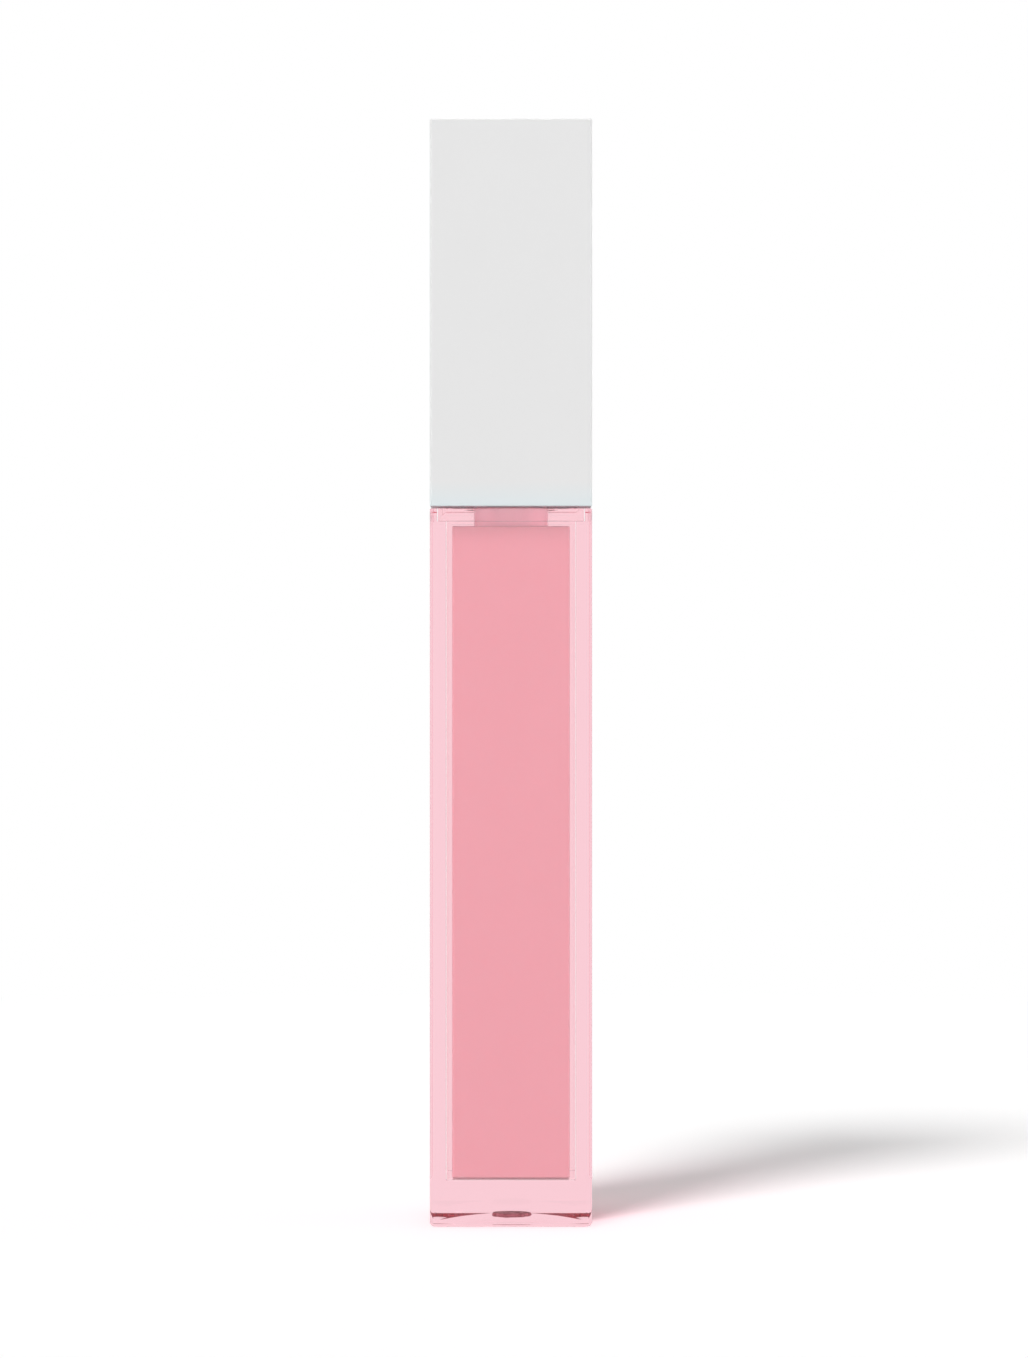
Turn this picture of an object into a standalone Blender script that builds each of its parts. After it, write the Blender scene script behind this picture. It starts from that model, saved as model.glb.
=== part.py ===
"""A square, thick-walled lip gloss tube with a screw cap and a doe-foot applicator, closed and upright.

Metres, +Z up. The origin is at the centre of the bottle's base and the front faces -Y. Every screw and
slide axis is the tube's own axis, the world Z axis.
"""

from math import asin, cos, pi, radians, sin

import bmesh
import bpy
from mathutils import Matrix, Vector

MM = 0.001

# Overall size
WIDTH = 16.0 * MM
BOTTLE_TOP = 70.8 * MM
CAP_BOTTOM = 71.0 * MM
CAP_TOP = 109.2 * MM

# Clear outer bottle
SHELL_CORNER = 0.5 * MM
FOOT_EDGE = 0.45 * MM
RIM_EDGE = 0.15 * MM
CAVITY_WIDTH = 13.1 * MM
CAVITY_FLOOR = 4.25 * MM
REBATE_WIDTH = 14.9 * MM
REBATE_FLOOR = 69.4 * MM
DISH_RADIUS = 7.3 * MM
DISH_DEPTH = 0.7 * MM
GATE_RADIUS = 2.0 * MM
GATE_BOTTOM = 0.35 * MM
DISH_STEPS = 5

# Clear vial inside it
VIAL_WIDTH = 12.8 * MM
VIAL_CORNER = 0.3 * MM
VIAL_BOTTOM = 4.35 * MM
VIAL_INSIDE = 11.6 * MM
VIAL_INSIDE_CORNER = 0.3 * MM
VIAL_FLOOR = 4.75 * MM
VIAL_CEILING = 69.1 * MM
FLANGE_WIDTH = 14.6 * MM
FLANGE_CORNER = 0.5 * MM
FLANGE_BOTTOM = 69.55 * MM
NECK_RADIUS = 4.7 * MM
NECK_BORE = 3.7 * MM
NECK_TOP = 79.0 * MM
NECK_CHAMFER = 0.2 * MM

# Screw thread: the neck's ridge and the cap's ridge share one right-hand helix
THREAD_PITCH = 2.1 * MM
THREAD_TURNS = 1.5
THREAD_START = 73.1 * MM
RIDGE_FOOT_HEIGHT = 0.8 * MM
RIDGE_CREST_HEIGHT = 0.35 * MM
RIDGE_ROOT_DEPTH = 0.3 * MM
NECK_CREST = 5.35 * MM
CAP_CREST = 4.95 * MM
FADE_TURNS = 0.12
LEAST_FADE = 0.12

# Gloss
GLOSS_WIDTH = 11.4 * MM
GLOSS_CORNER = 0.25 * MM
GLOSS_BOTTOM = 4.85 * MM
GLOSS_SHOULDER = 69.0 * MM
GLOSS_NECK_RADIUS = 3.6 * MM
GLOSS_TOP = 70.7 * MM
WAND_WELL_RADIUS = 2.5 * MM
WAND_WELL_FLOOR = 7.6 * MM

# Wiper in the neck
WIPER_FLANGE_RADIUS = 4.3 * MM
WIPER_FLANGE_BOTTOM = 79.1 * MM
WIPER_TOP = 79.7 * MM
WIPER_RADIUS = 3.6 * MM
WIPER_INSIDE = 3.15 * MM
WIPER_CONE_TOP = 74.2 * MM
WIPER_BOTTOM = 71.6 * MM
WIPER_ORIFICE = 2.5 * MM
WIPER_LIP = 2.85 * MM
WIPER_LIP_HEIGHT = 0.3 * MM

# Liner ring
SEAL_RADIUS = 4.6 * MM
SEAL_HOLE = 2.95 * MM
SEAL_BOTTOM = 79.85 * MM
SEAL_TOP = 80.85 * MM

# Threaded inner cap
INNER_CAP_BOTTOM = 71.6 * MM
INNER_CAP_RADIUS = 6.35 * MM
INNER_CAP_BORE = 5.55 * MM
INNER_CAP_CEILING = 81.0 * MM
INNER_CAP_TOP = 82.2 * MM
COLLAR_WIDTH = 12.9 * MM
COLLAR_CORNER = 0.4 * MM
COLLAR_TOP = 72.6 * MM
RIB_REACH = 8.4 * MM
RIB_THICKNESS = 1.0 * MM
RIB_TOP = 82.0 * MM
SOCKET_RADIUS = 3.4 * MM
SOCKET_BORE = 2.3 * MM
SOCKET_CEILING = 89.6 * MM
SOCKET_TOP = 90.6 * MM

# White outer cap
CAP_CORNER = 0.3 * MM
CAP_EDGE = 0.15 * MM
CAP_INSIDE = 13.2 * MM
CAP_INSIDE_CORNER = 0.5 * MM
CAP_CEILING = 107.6 * MM
STOP_BOTTOM = 82.5 * MM
STOP_DEPTH = 1.6 * MM
STOP_THICKNESS = 1.0 * MM

# Wand
STEM_RADIUS = 2.2 * MM
STEM_TOP = 89.4 * MM
STEM_BOTTOM = 22.4 * MM
STEM_COLLAR_RADIUS = 2.7 * MM
STEM_COLLAR_BOTTOM = 80.1 * MM
STEM_TAPER_BOTTOM = 79.8 * MM
STEM_COLLAR_TOP = 80.8 * MM
STEM_BORE = 1.25 * MM
STEM_BORE_TOP = 28.0 * MM

# Doe-foot tip: a flocked sleeve over a plastic core, both cut by one slanted face
TIP_TOP = 22.2 * MM
FLOCK_RADIUS = 2.1 * MM
FLOCK_BOTTOM = 8.2 * MM
FLOCK_THICKNESS = 0.5 * MM
CORE_GAP = 0.06 * MM
CORE_PLUG_RADIUS = 1.15 * MM
CORE_PLUG_TOP = 27.6 * MM
SLANT_ANGLE = radians(14)
SLANT_START = 17.2 * MM
WEDGE_REACH = 30.0 * MM
TIP_STEPS = 4

ROUND_STEPS = 36
CORNER_STEPS = 3
SHARP_ANGLE = radians(30)

# How far a cutting shape runs past the face it opens, and how deep an added one is buried
OVERRUN = 1.0 * MM


# ---------------------------------------------------------------- building blocks

def object_from(name, bm, material=None):
    """Puts a bmesh into the scene as a named object, with round parts shaded smooth."""
    bmesh.ops.recalc_face_normals(bm, faces=bm.faces)
    mesh = bpy.data.meshes.new(name)
    bm.to_mesh(mesh)
    bm.free()
    mesh.shade_smooth()
    mesh.set_sharp_from_angle(angle=SHARP_ANGLE)
    obj = bpy.data.objects.new(name, mesh)
    bpy.context.scene.collection.objects.link(obj)
    if material is not None:
        mesh.materials.append(material)
    return obj


def rounded_square(width, corner):
    """The outline of a square with arcs at its corners, counter-clockwise, as (x, y) points."""
    centre = width / 2 - corner
    points = []
    for quarter in range(4):
        middle = Matrix.Rotation(quarter * pi / 2, 2) @ Vector((centre, centre))
        for step in range(CORNER_STEPS + 1):
            angle = (quarter + step / CORNER_STEPS) * pi / 2
            points.append((middle.x + corner * cos(angle), middle.y + corner * sin(angle)))
    return points


def square_bar(width, corner, bottom, top, foot=0.0, rim=0.0):
    """A bmesh of an upright square bar with rounded corners. The foot and rim radii round its two ends."""
    bm = bmesh.new()
    base = bm.faces.new([bm.verts.new((x, y, bottom)) for x, y in rounded_square(width, corner)])
    raised = bmesh.ops.extrude_face_region(bm, geom=[base])["geom"]
    lifted = [item for item in raised if isinstance(item, bmesh.types.BMVert)]
    bmesh.ops.translate(bm, verts=lifted, vec=(0, 0, top - bottom))
    for height, radius in ((bottom, foot), (top, rim)):
        if radius:
            outline = [e for e in bm.edges if all(abs(v.co.z - height) < radius / 10 for v in e.verts)]
            bmesh.ops.bevel(bm, geom=outline, offset=radius, segments=2, profile=0.5, affect="EDGES")
    return bm


def box(low, high):
    """A bmesh of a box between two opposite corners."""
    bm = bmesh.new()
    bmesh.ops.create_cube(bm, size=1)
    low, high = Vector(low), Vector(high)
    bmesh.ops.transform(bm, matrix=Matrix.LocRotScale((low + high) / 2, None, high - low), verts=bm.verts)
    return bm


def turned(profile):
    """A bmesh of a profile of (radius, height) points turned about Z. A profile that stays off the axis
    is closed into a ring, and one that ends on the axis makes a solid with no hole."""
    bm = bmesh.new()
    points = [bm.verts.new((radius, 0, height)) for radius, height in profile]
    pairs = list(zip(points, points[1:]))
    if all(radius > 0 for radius, _ in profile):
        pairs.append((points[-1], points[0]))
    edges = [bm.edges.new(pair) for pair in pairs]
    bmesh.ops.spin(
        bm,
        geom=points + edges,
        axis=(0, 0, 1),
        cent=(0, 0, 0),
        angle=2 * pi,
        steps=ROUND_STEPS,
        use_merge=True,
    )
    bmesh.ops.remove_doubles(bm, verts=bm.verts, dist=1e-7)
    return bm


def round_bar(radius, bottom, top):
    """A bmesh of an upright round bar on the axis."""
    return turned([(0, bottom), (radius, bottom), (radius, top), (0, top)])


def boolean(obj, operation, bm):
    """Joins a shape to an object or cuts it out. The shape stays in the scene as a hidden guide."""
    number = len(obj.modifiers) + 1
    guide = object_from(f"{obj.name}.guide{number}", bm)
    guide.hide_render = True
    guide.display_type = "WIRE"
    modifier = obj.modifiers.new(f"{operation.title()} {number}", "BOOLEAN")
    modifier.operation = operation
    modifier.solver = "EXACT"
    modifier.object = guide
    return guide


def cut(obj, bm):
    return boolean(obj, "DIFFERENCE", bm)


def add(obj, bm):
    return boolean(obj, "UNION", bm)


def thread_ridge(foot, crest, start):
    """A bmesh of one helical ridge from radius foot to radius crest, fading out at both ends."""
    bm = bmesh.new()
    rings = []
    for step in range(round(THREAD_TURNS * ROUND_STEPS) + 1):
        turn = step / ROUND_STEPS
        fade = max(LEAST_FADE, min(1, turn / FADE_TURNS, (THREAD_TURNS - turn) / FADE_TURNS))
        angle = 2 * pi * turn
        middle = start + THREAD_PITCH * turn
        top = foot + (crest - foot) * fade
        section = [
            (foot, -RIDGE_FOOT_HEIGHT / 2),
            (top, -RIDGE_CREST_HEIGHT / 2 * fade),
            (top, RIDGE_CREST_HEIGHT / 2 * fade),
            (foot, RIDGE_FOOT_HEIGHT / 2),
        ]
        rings.append([bm.verts.new((r * cos(angle), r * sin(angle), middle + z)) for r, z in section])
    for ring, after in zip(rings, rings[1:]):
        for i in range(len(ring)):
            j = (i + 1) % len(ring)
            bm.faces.new((ring[i], ring[j], after[j], after[i]))
    bm.faces.new(reversed(rings[0]))
    bm.faces.new(rings[-1])
    return bm


def plastic(name, colour, roughness, transmission=0.0):
    """A Principled material; the colour is linear red, green and blue."""
    material = bpy.data.materials.new(name)
    material.use_nodes = True
    shader = material.node_tree.nodes["Principled BSDF"]
    shader.inputs["Base Color"].default_value = (*colour, 1)
    shader.inputs["Roughness"].default_value = roughness
    shader.inputs["Metallic"].default_value = 0
    shader.inputs["Transmission Weight"].default_value = transmission
    return material


# ---------------------------------------------------------------- the bottle

def dish_profile():
    """The underside's hollow: a shallow dome about the raised disc that the moulding gate leaves."""
    sphere = (DISH_RADIUS**2 + DISH_DEPTH**2) / (2 * DISH_DEPTH)
    first, last = asin(GATE_RADIUS / sphere), asin(DISH_RADIUS / sphere)
    dome = []
    for step in range(DISH_STEPS + 1):
        angle = first + (last - first) * step / DISH_STEPS
        dome.append((sphere * sin(angle), DISH_DEPTH - sphere * (1 - cos(angle))))
    return [(0, GATE_BOTTOM), (GATE_RADIUS, GATE_BOTTOM), *dome, (DISH_RADIUS, -OVERRUN), (0, -OVERRUN)]


def make_bottle_shell():
    clear = plastic("clear_styrene", (0.93, 0.72, 0.76), 0.04, 0.9)
    bar = square_bar(WIDTH, SHELL_CORNER, 0, BOTTLE_TOP, FOOT_EDGE, RIM_EDGE)
    shell = object_from("bottle_shell", bar, clear)
    cut(shell, square_bar(CAVITY_WIDTH, SHELL_CORNER, CAVITY_FLOOR, BOTTLE_TOP + OVERRUN))
    cut(shell, square_bar(REBATE_WIDTH, SHELL_CORNER, REBATE_FLOOR, BOTTLE_TOP + OVERRUN))
    cut(shell, turned(dish_profile()))


def make_inner_vial():
    clear = plastic("clear_vial_plastic", (0.95, 0.76, 0.80), 0.04, 0.9)
    vial = object_from("inner_vial", square_bar(VIAL_WIDTH, VIAL_CORNER, VIAL_BOTTOM, BOTTLE_TOP), clear)
    add(vial, square_bar(FLANGE_WIDTH, FLANGE_CORNER, FLANGE_BOTTOM, BOTTLE_TOP))
    neck = [
        (0, BOTTLE_TOP - OVERRUN),
        (NECK_RADIUS, BOTTLE_TOP - OVERRUN),
        (NECK_RADIUS, NECK_TOP - NECK_CHAMFER),
        (NECK_RADIUS - NECK_CHAMFER, NECK_TOP),
        (0, NECK_TOP),
    ]
    add(vial, turned(neck))
    add(vial, thread_ridge(NECK_RADIUS - RIDGE_ROOT_DEPTH, NECK_CREST, THREAD_START))
    cut(vial, square_bar(VIAL_INSIDE, VIAL_INSIDE_CORNER, VIAL_FLOOR, VIAL_CEILING))
    cut(vial, round_bar(NECK_BORE, VIAL_CEILING - OVERRUN, NECK_TOP + OVERRUN))


def make_lip_gloss():
    pink = plastic("pink_gloss", (0.84, 0.36, 0.42), 0.15)
    body = square_bar(GLOSS_WIDTH, GLOSS_CORNER, GLOSS_BOTTOM, GLOSS_SHOULDER)
    gloss = object_from("lip_gloss", body, pink)
    add(gloss, round_bar(GLOSS_NECK_RADIUS, GLOSS_SHOULDER - OVERRUN, GLOSS_TOP))
    cut(gloss, round_bar(WAND_WELL_RADIUS, WAND_WELL_FLOOR, GLOSS_TOP + OVERRUN))


def make_wiper():
    milky = plastic("milky_polyethylene", (0.85, 0.85, 0.84), 0.45)
    profile = [
        (WIPER_INSIDE, WIPER_TOP),
        (WIPER_FLANGE_RADIUS, WIPER_TOP),
        (WIPER_FLANGE_RADIUS, WIPER_FLANGE_BOTTOM),
        (WIPER_RADIUS, WIPER_FLANGE_BOTTOM),
        (WIPER_RADIUS, WIPER_CONE_TOP),
        (WIPER_LIP, WIPER_BOTTOM),
        (WIPER_ORIFICE, WIPER_BOTTOM),
        (WIPER_ORIFICE, WIPER_BOTTOM + WIPER_LIP_HEIGHT),
        (WIPER_INSIDE, WIPER_CONE_TOP),
    ]
    object_from("wiper", turned(profile), milky)


# ---------------------------------------------------------------- the cap

def make_cap_seal():
    foam = plastic("white_liner_foam", (0.86, 0.86, 0.85), 0.8)
    profile = [
        (SEAL_HOLE, SEAL_TOP),
        (SEAL_RADIUS, SEAL_TOP),
        (SEAL_RADIUS, SEAL_BOTTOM),
        (SEAL_HOLE, SEAL_BOTTOM),
    ]
    object_from("cap_seal", turned(profile), foam)


def make_outer_cap():
    white = plastic("white_abs", (0.78, 0.78, 0.78), 0.4)
    bar = square_bar(WIDTH, CAP_CORNER, CAP_BOTTOM, CAP_TOP, CAP_EDGE, CAP_EDGE)
    cap = object_from("outer_cap", bar, white)
    cut(cap, square_bar(CAP_INSIDE, CAP_INSIDE_CORNER, CAP_BOTTOM - OVERRUN, CAP_CEILING))
    wall = CAP_INSIDE / 2
    for quarter in range(4):
        stop = box(
            (wall - STOP_DEPTH, -STOP_THICKNESS / 2, STOP_BOTTOM),
            (wall + OVERRUN, STOP_THICKNESS / 2, CAP_CEILING + OVERRUN),
        )
        bmesh.ops.rotate(stop, verts=stop.verts, matrix=Matrix.Rotation(quarter * pi / 2, 3, "Z"))
        add(cap, stop)


def make_inner_cap():
    milky = plastic("milky_polypropylene", (0.83, 0.83, 0.82), 0.4)
    body = [
        (0, INNER_CAP_BOTTOM),
        (INNER_CAP_RADIUS, INNER_CAP_BOTTOM),
        (INNER_CAP_RADIUS, INNER_CAP_TOP),
        (SOCKET_RADIUS, INNER_CAP_TOP),
        (SOCKET_RADIUS, SOCKET_TOP),
        (0, SOCKET_TOP),
    ]
    cap = object_from("inner_cap", turned(body), milky)
    add(cap, square_bar(COLLAR_WIDTH, COLLAR_CORNER, INNER_CAP_BOTTOM, COLLAR_TOP))
    for quarter in range(4):
        rib = box(
            (INNER_CAP_BORE, -RIB_THICKNESS / 2, INNER_CAP_BOTTOM),
            (RIB_REACH, RIB_THICKNESS / 2, RIB_TOP),
        )
        bmesh.ops.rotate(rib, verts=rib.verts, matrix=Matrix.Rotation((quarter + 0.5) * pi / 2, 3, "Z"))
        add(cap, rib)
    hollow = [
        (0, INNER_CAP_BOTTOM - OVERRUN),
        (INNER_CAP_BORE, INNER_CAP_BOTTOM - OVERRUN),
        (INNER_CAP_BORE, INNER_CAP_CEILING),
        (SOCKET_BORE, INNER_CAP_CEILING),
        (SOCKET_BORE, SOCKET_CEILING),
        (0, SOCKET_CEILING),
    ]
    cut(cap, turned(hollow))
    add(cap, thread_ridge(INNER_CAP_BORE + RIDGE_ROOT_DEPTH, CAP_CREST, THREAD_START + THREAD_PITCH / 2))


# ---------------------------------------------------------------- the wand

def make_wand_stem():
    milky = plastic("milky_stem_plastic", (0.83, 0.83, 0.82), 0.35)
    profile = [
        (0, STEM_TOP),
        (STEM_RADIUS, STEM_TOP),
        (STEM_RADIUS, STEM_COLLAR_TOP),
        (STEM_COLLAR_RADIUS, STEM_COLLAR_TOP),
        (STEM_COLLAR_RADIUS, STEM_COLLAR_BOTTOM),
        (STEM_RADIUS, STEM_TAPER_BOTTOM),
        (STEM_RADIUS, STEM_BOTTOM),
        (STEM_BORE, STEM_BOTTOM),
        (STEM_BORE, STEM_BORE_TOP),
        (0, STEM_BORE_TOP),
    ]
    object_from("wand_stem", turned(profile), milky)


def doe_foot(inset, top):
    """A bmesh of a round-ended rod, and one of the wedge that cuts its slanted front. Both are drawn in by
    the inset, so that a larger inset makes the same shape one layer further in."""
    radius = FLOCK_RADIUS - inset
    centre = FLOCK_BOTTOM + inset + radius
    angles = [pi / 2 * step / TIP_STEPS for step in range(1, TIP_STEPS)]
    end = [(radius * cos(angle), centre - radius * sin(angle)) for angle in angles]
    rod = turned([(0, top), (radius, top), (radius, centre), *end, (0, centre - radius)])
    across = 4 * FLOCK_RADIUS
    wedge = box((-across, -across, -WEDGE_REACH), (across, 0, WEDGE_REACH))
    bmesh.ops.rotate(wedge, verts=wedge.verts, matrix=Matrix.Rotation(SLANT_ANGLE, 3, "X"))
    front = -FLOCK_RADIUS + inset / cos(SLANT_ANGLE)
    bmesh.ops.translate(wedge, verts=wedge.verts, vec=(0, front, SLANT_START))
    return rod, wedge


def make_applicator_flock():
    fibres = plastic("white_flock", (0.86, 0.84, 0.82), 0.95)
    rod, wedge = doe_foot(0, TIP_TOP)
    flock = object_from("applicator_flock", rod, fibres)
    cut(flock, wedge)
    hollow, hollow_wedge = doe_foot(FLOCK_THICKNESS, TIP_TOP + OVERRUN)
    cut(cut(flock, hollow), hollow_wedge)


def make_applicator_core():
    milky = plastic("milky_core_plastic", (0.83, 0.83, 0.82), 0.4)
    rod, wedge = doe_foot(FLOCK_THICKNESS + CORE_GAP, TIP_TOP)
    core = object_from("applicator_core", rod, milky)
    cut(core, wedge)
    add(core, round_bar(CORE_PLUG_RADIUS, TIP_TOP - OVERRUN, CORE_PLUG_TOP))


def main():
    for obj in list(bpy.data.objects):
        bpy.data.objects.remove(obj)
    make_bottle_shell()
    make_inner_vial()
    make_lip_gloss()
    make_wiper()
    make_cap_seal()
    make_outer_cap()
    make_inner_cap()
    make_wand_stem()
    make_applicator_flock()
    make_applicator_core()


main()
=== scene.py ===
# %% [markdown]
# # A square lip gloss tube
#
# The real thing is a clear, thick-walled square bottle with a thinner clear vial inside it. The vial
# holds an opaque pink gloss. A tall white cap screws onto the vial's round neck and carries a wand
# with a flocked doe-foot tip, which a soft wiper in the neck scrapes clean on its way out.
#
# The CAD model comes first, because every piece here takes its place and size from it. It is in
# metres, stands on the XY plane and has its front face towards -Y.

from math import atan2, cos, hypot, pi, radians, sin

import bmesh
import bpy
from mathutils import Matrix, Vector


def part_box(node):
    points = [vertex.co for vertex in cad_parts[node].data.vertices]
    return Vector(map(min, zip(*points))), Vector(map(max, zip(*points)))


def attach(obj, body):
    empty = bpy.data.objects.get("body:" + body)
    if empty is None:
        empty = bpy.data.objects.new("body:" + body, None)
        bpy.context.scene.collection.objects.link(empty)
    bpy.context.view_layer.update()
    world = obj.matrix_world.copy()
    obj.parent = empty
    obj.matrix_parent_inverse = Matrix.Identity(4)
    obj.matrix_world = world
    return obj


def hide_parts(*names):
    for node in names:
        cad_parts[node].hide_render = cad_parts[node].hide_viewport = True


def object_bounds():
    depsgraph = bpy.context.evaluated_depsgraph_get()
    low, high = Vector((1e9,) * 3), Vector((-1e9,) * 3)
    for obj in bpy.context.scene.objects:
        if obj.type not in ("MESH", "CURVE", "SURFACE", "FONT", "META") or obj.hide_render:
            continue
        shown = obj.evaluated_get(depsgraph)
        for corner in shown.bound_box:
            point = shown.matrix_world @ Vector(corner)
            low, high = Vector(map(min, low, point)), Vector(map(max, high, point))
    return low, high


MM = 0.001
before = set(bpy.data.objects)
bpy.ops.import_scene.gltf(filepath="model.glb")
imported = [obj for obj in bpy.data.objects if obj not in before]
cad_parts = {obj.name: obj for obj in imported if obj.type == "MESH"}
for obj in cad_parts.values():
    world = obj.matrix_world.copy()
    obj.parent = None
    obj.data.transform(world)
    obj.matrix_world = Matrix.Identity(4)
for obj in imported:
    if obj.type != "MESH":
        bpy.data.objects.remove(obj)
cad_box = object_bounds()
print("CAD box in mm:", [[round(v / MM, 2) for v in corner] for corner in cad_box])

# %% [markdown]
# ## Camera
#
# The tube is seen square on, with the lens level with the middle of its height, so all its upright
# edges stay upright. A long lens from 0.42 m away keeps the sides from flaring. The lens length
# follows from how tall the tube is in the frame: 0.817 of the frame's height.

# %% Camera
CAMERA_PLACE = (0.3 * MM, -420 * MM, 54 * MM)
SENSOR = 36
FRAME_SHARE = 0.817
NEAR_LIMIT = 10 * MM
tube_low, tube_high = cad_box
view_depth = tube_low.y - CAMERA_PLACE[1]
seen_height = (tube_high.z - tube_low.z) / FRAME_SHARE
lens = bpy.data.cameras.new("camera")
lens.sensor_width = SENSOR
lens.lens = SENSOR * view_depth / seen_height
lens.clip_start = NEAR_LIMIT
camera = bpy.data.objects.new("camera", lens)
camera.location = CAMERA_PLACE
camera.rotation_euler = (radians(90), 0, 0)
bpy.context.scene.collection.objects.link(camera)
bpy.context.scene.camera = camera
print("lens in mm:", round(lens.lens, 1))

# %% [markdown]
# ## Nodes, in one small function
#
# A material or a Geometry Nodes tree is a set of nodes joined by links. One function adds a node,
# applies its settings, and fills its inputs with plain values or with links. A link may name another
# node's output, or just the node when its first output is meant. Colours are written as the sRGB hex
# values that a paint program shows, and a second function turns them to the linear values that a
# shader works in. A third starts a material: an empty tree, and the Object coordinates that its
# patterns are laid out in, so that they stay with the piece.

# %% Node and colour helpers
def add_node(tree, kind, inputs=None, **settings):
    """Adds a node to a tree. An input gets a plain value, another node's output, or its first one."""
    node = tree.nodes.new(kind)
    for setting, value in settings.items():
        setattr(node, setting, value)
    for name, value in (inputs or {}).items():
        if isinstance(value, bpy.types.Node):
            value = value.outputs[0]
        if isinstance(value, bpy.types.NodeSocket):
            tree.links.new(value, node.inputs[name])
        else:
            node.inputs[name].default_value = value
    return node


def linear(hex_colour, alpha=1.0):
    """The linear colour of an sRGB hex value such as #EFA3AD."""
    parts = [int(hex_colour[i : i + 2], 16) / 255 for i in (1, 3, 5)]
    return (*[p / 12.92 if p <= 0.04045 else ((p + 0.055) / 1.055) ** 2.4 for p in parts], alpha)


def blank_material(name):
    """A material with nothing but its Object coordinates, its tree, and those coordinates."""
    material = bpy.data.materials.new(name)
    material.use_nodes = True
    tree = material.node_tree
    tree.nodes.clear()
    return material, tree, add_node(tree, "ShaderNodeTexCoord").outputs["Object"]


print("#EFA3AD is", [round(v, 3) for v in linear("#EFA3AD")])

# %% [markdown]
# ## Light and floor
#
# A product picture on white needs light that is soft and even. A pale world fills from all round, a
# wide lamp high at the front left is the key and casts the shadow, and four low, wide softboxes stand
# round the tube and reach under the cap. Together they give an upright face about the colour that is
# written for it.
#
# The background is pure white because the world and the floor say so to the rays that look at them:
# the Light Path node tells a camera, mirror or glass ray from the rays that carry light. The tube
# itself is lit no brighter for it. Near the tube the floor stays a real surface, shown a little
# brighter than it is lit, so it keeps the tube's soft shadow. Further out it blends into plain white,
# and from below it is clear, so the underside can be seen too.

# %% World, key lamp and floor
WORLD_FILL = 0.14
SOFTBOX_WIDTH, SOFTBOX_DEPTH = 1.0, 0.12
SOFTBOX_DISTANCE, SOFTBOX_LEVEL = 1.0, 0.07
FLOOR_SIZE = 6.0
FLOOR_GAP = 0.05 * MM
SHOWN_BRIGHTER = 1.94
SHADOW_REACH, PLAIN_FROM = 0.1, 0.3


def looking_rays(tree):
    """1 for rays that show a surface to the eye, straight or through a mirror or glass, else 0."""
    path = add_node(tree, "ShaderNodeLightPath")
    kinds = ("Camera", "Glossy", "Transmission")
    camera_ray, glossy_ray, bent_ray = [path.outputs[f"Is {kind} Ray"] for kind in kinds]
    either = add_node(tree, "ShaderNodeMath", {0: camera_ray, 1: glossy_ray}, operation="MAXIMUM")
    return add_node(tree, "ShaderNodeMath", {0: either, 1: bent_ray}, operation="MAXIMUM")


world = bpy.data.worlds.new("white_studio")
world.use_nodes = True
world.node_tree.nodes.clear()
sky = world.node_tree
lighting = add_node(sky, "ShaderNodeBackground", {"Color": linear("#FFFFFF"), "Strength": WORLD_FILL})
backdrop = add_node(sky, "ShaderNodeBackground", {"Color": linear("#FFFFFF"), "Strength": 1.0})
chosen = add_node(sky, "ShaderNodeMixShader", {0: looking_rays(sky), 1: lighting, 2: backdrop})
add_node(sky, "ShaderNodeOutputWorld", {"Surface": chosen.outputs[0]})
bpy.context.scene.world = world


def sun_lamp(name, power, spread, elevation, heading):
    """A wide, far lamp. Its light travels down at the elevation, along the heading from +X to +Y."""
    light = bpy.data.lights.new(name, "SUN")
    light.energy = power
    light.angle = radians(spread)
    lamp = bpy.data.objects.new(name, light)
    down, along = radians(elevation), radians(heading)
    travel = Vector((cos(along) * cos(down), sin(along) * cos(down), -sin(down)))
    lamp.rotation_euler = travel.to_track_quat("-Z", "Y").to_euler()
    bpy.context.scene.collection.objects.link(lamp)
    print(f"{name} travels", [round(v, 2) for v in travel])
    return lamp


def softbox(name, power, turn):
    """A low, wide lamp that faces the tube from one side. It lights the tube without showing in it."""
    light = bpy.data.lights.new(name, "AREA")
    light.shape = "RECTANGLE"
    light.energy = power
    light.size, light.size_y = SOFTBOX_WIDTH, SOFTBOX_DEPTH
    lamp = bpy.data.objects.new(name, light)
    out, side = -SOFTBOX_DISTANCE * cos(radians(turn)), SOFTBOX_DISTANCE * sin(radians(turn))
    lamp.location = (side, out, SOFTBOX_LEVEL)
    lamp.rotation_euler = (radians(90), 0, radians(turn))
    lamp.visible_camera = False
    lamp.visible_glossy = False
    lamp.visible_transmission = False
    bpy.context.scene.collection.objects.link(lamp)


sun_lamp("key_lamp", power=1.07, spread=15, elevation=49, heading=59)
for side, power, turn in (("front", 4.65, 0), ("right", 5.4, 90), ("back", 5.7, 180), ("left", 4.1, -90)):
    softbox(f"{side}_softbox", power, turn)

# Thick clear walls hand light on by many inner reflections, so its paths may be longer than usual.
paths = bpy.context.scene.cycles
paths.max_bounces = paths.transmission_bounces = 20
paths.glossy_bounces = 16
paths.transparent_max_bounces = 24

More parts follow.
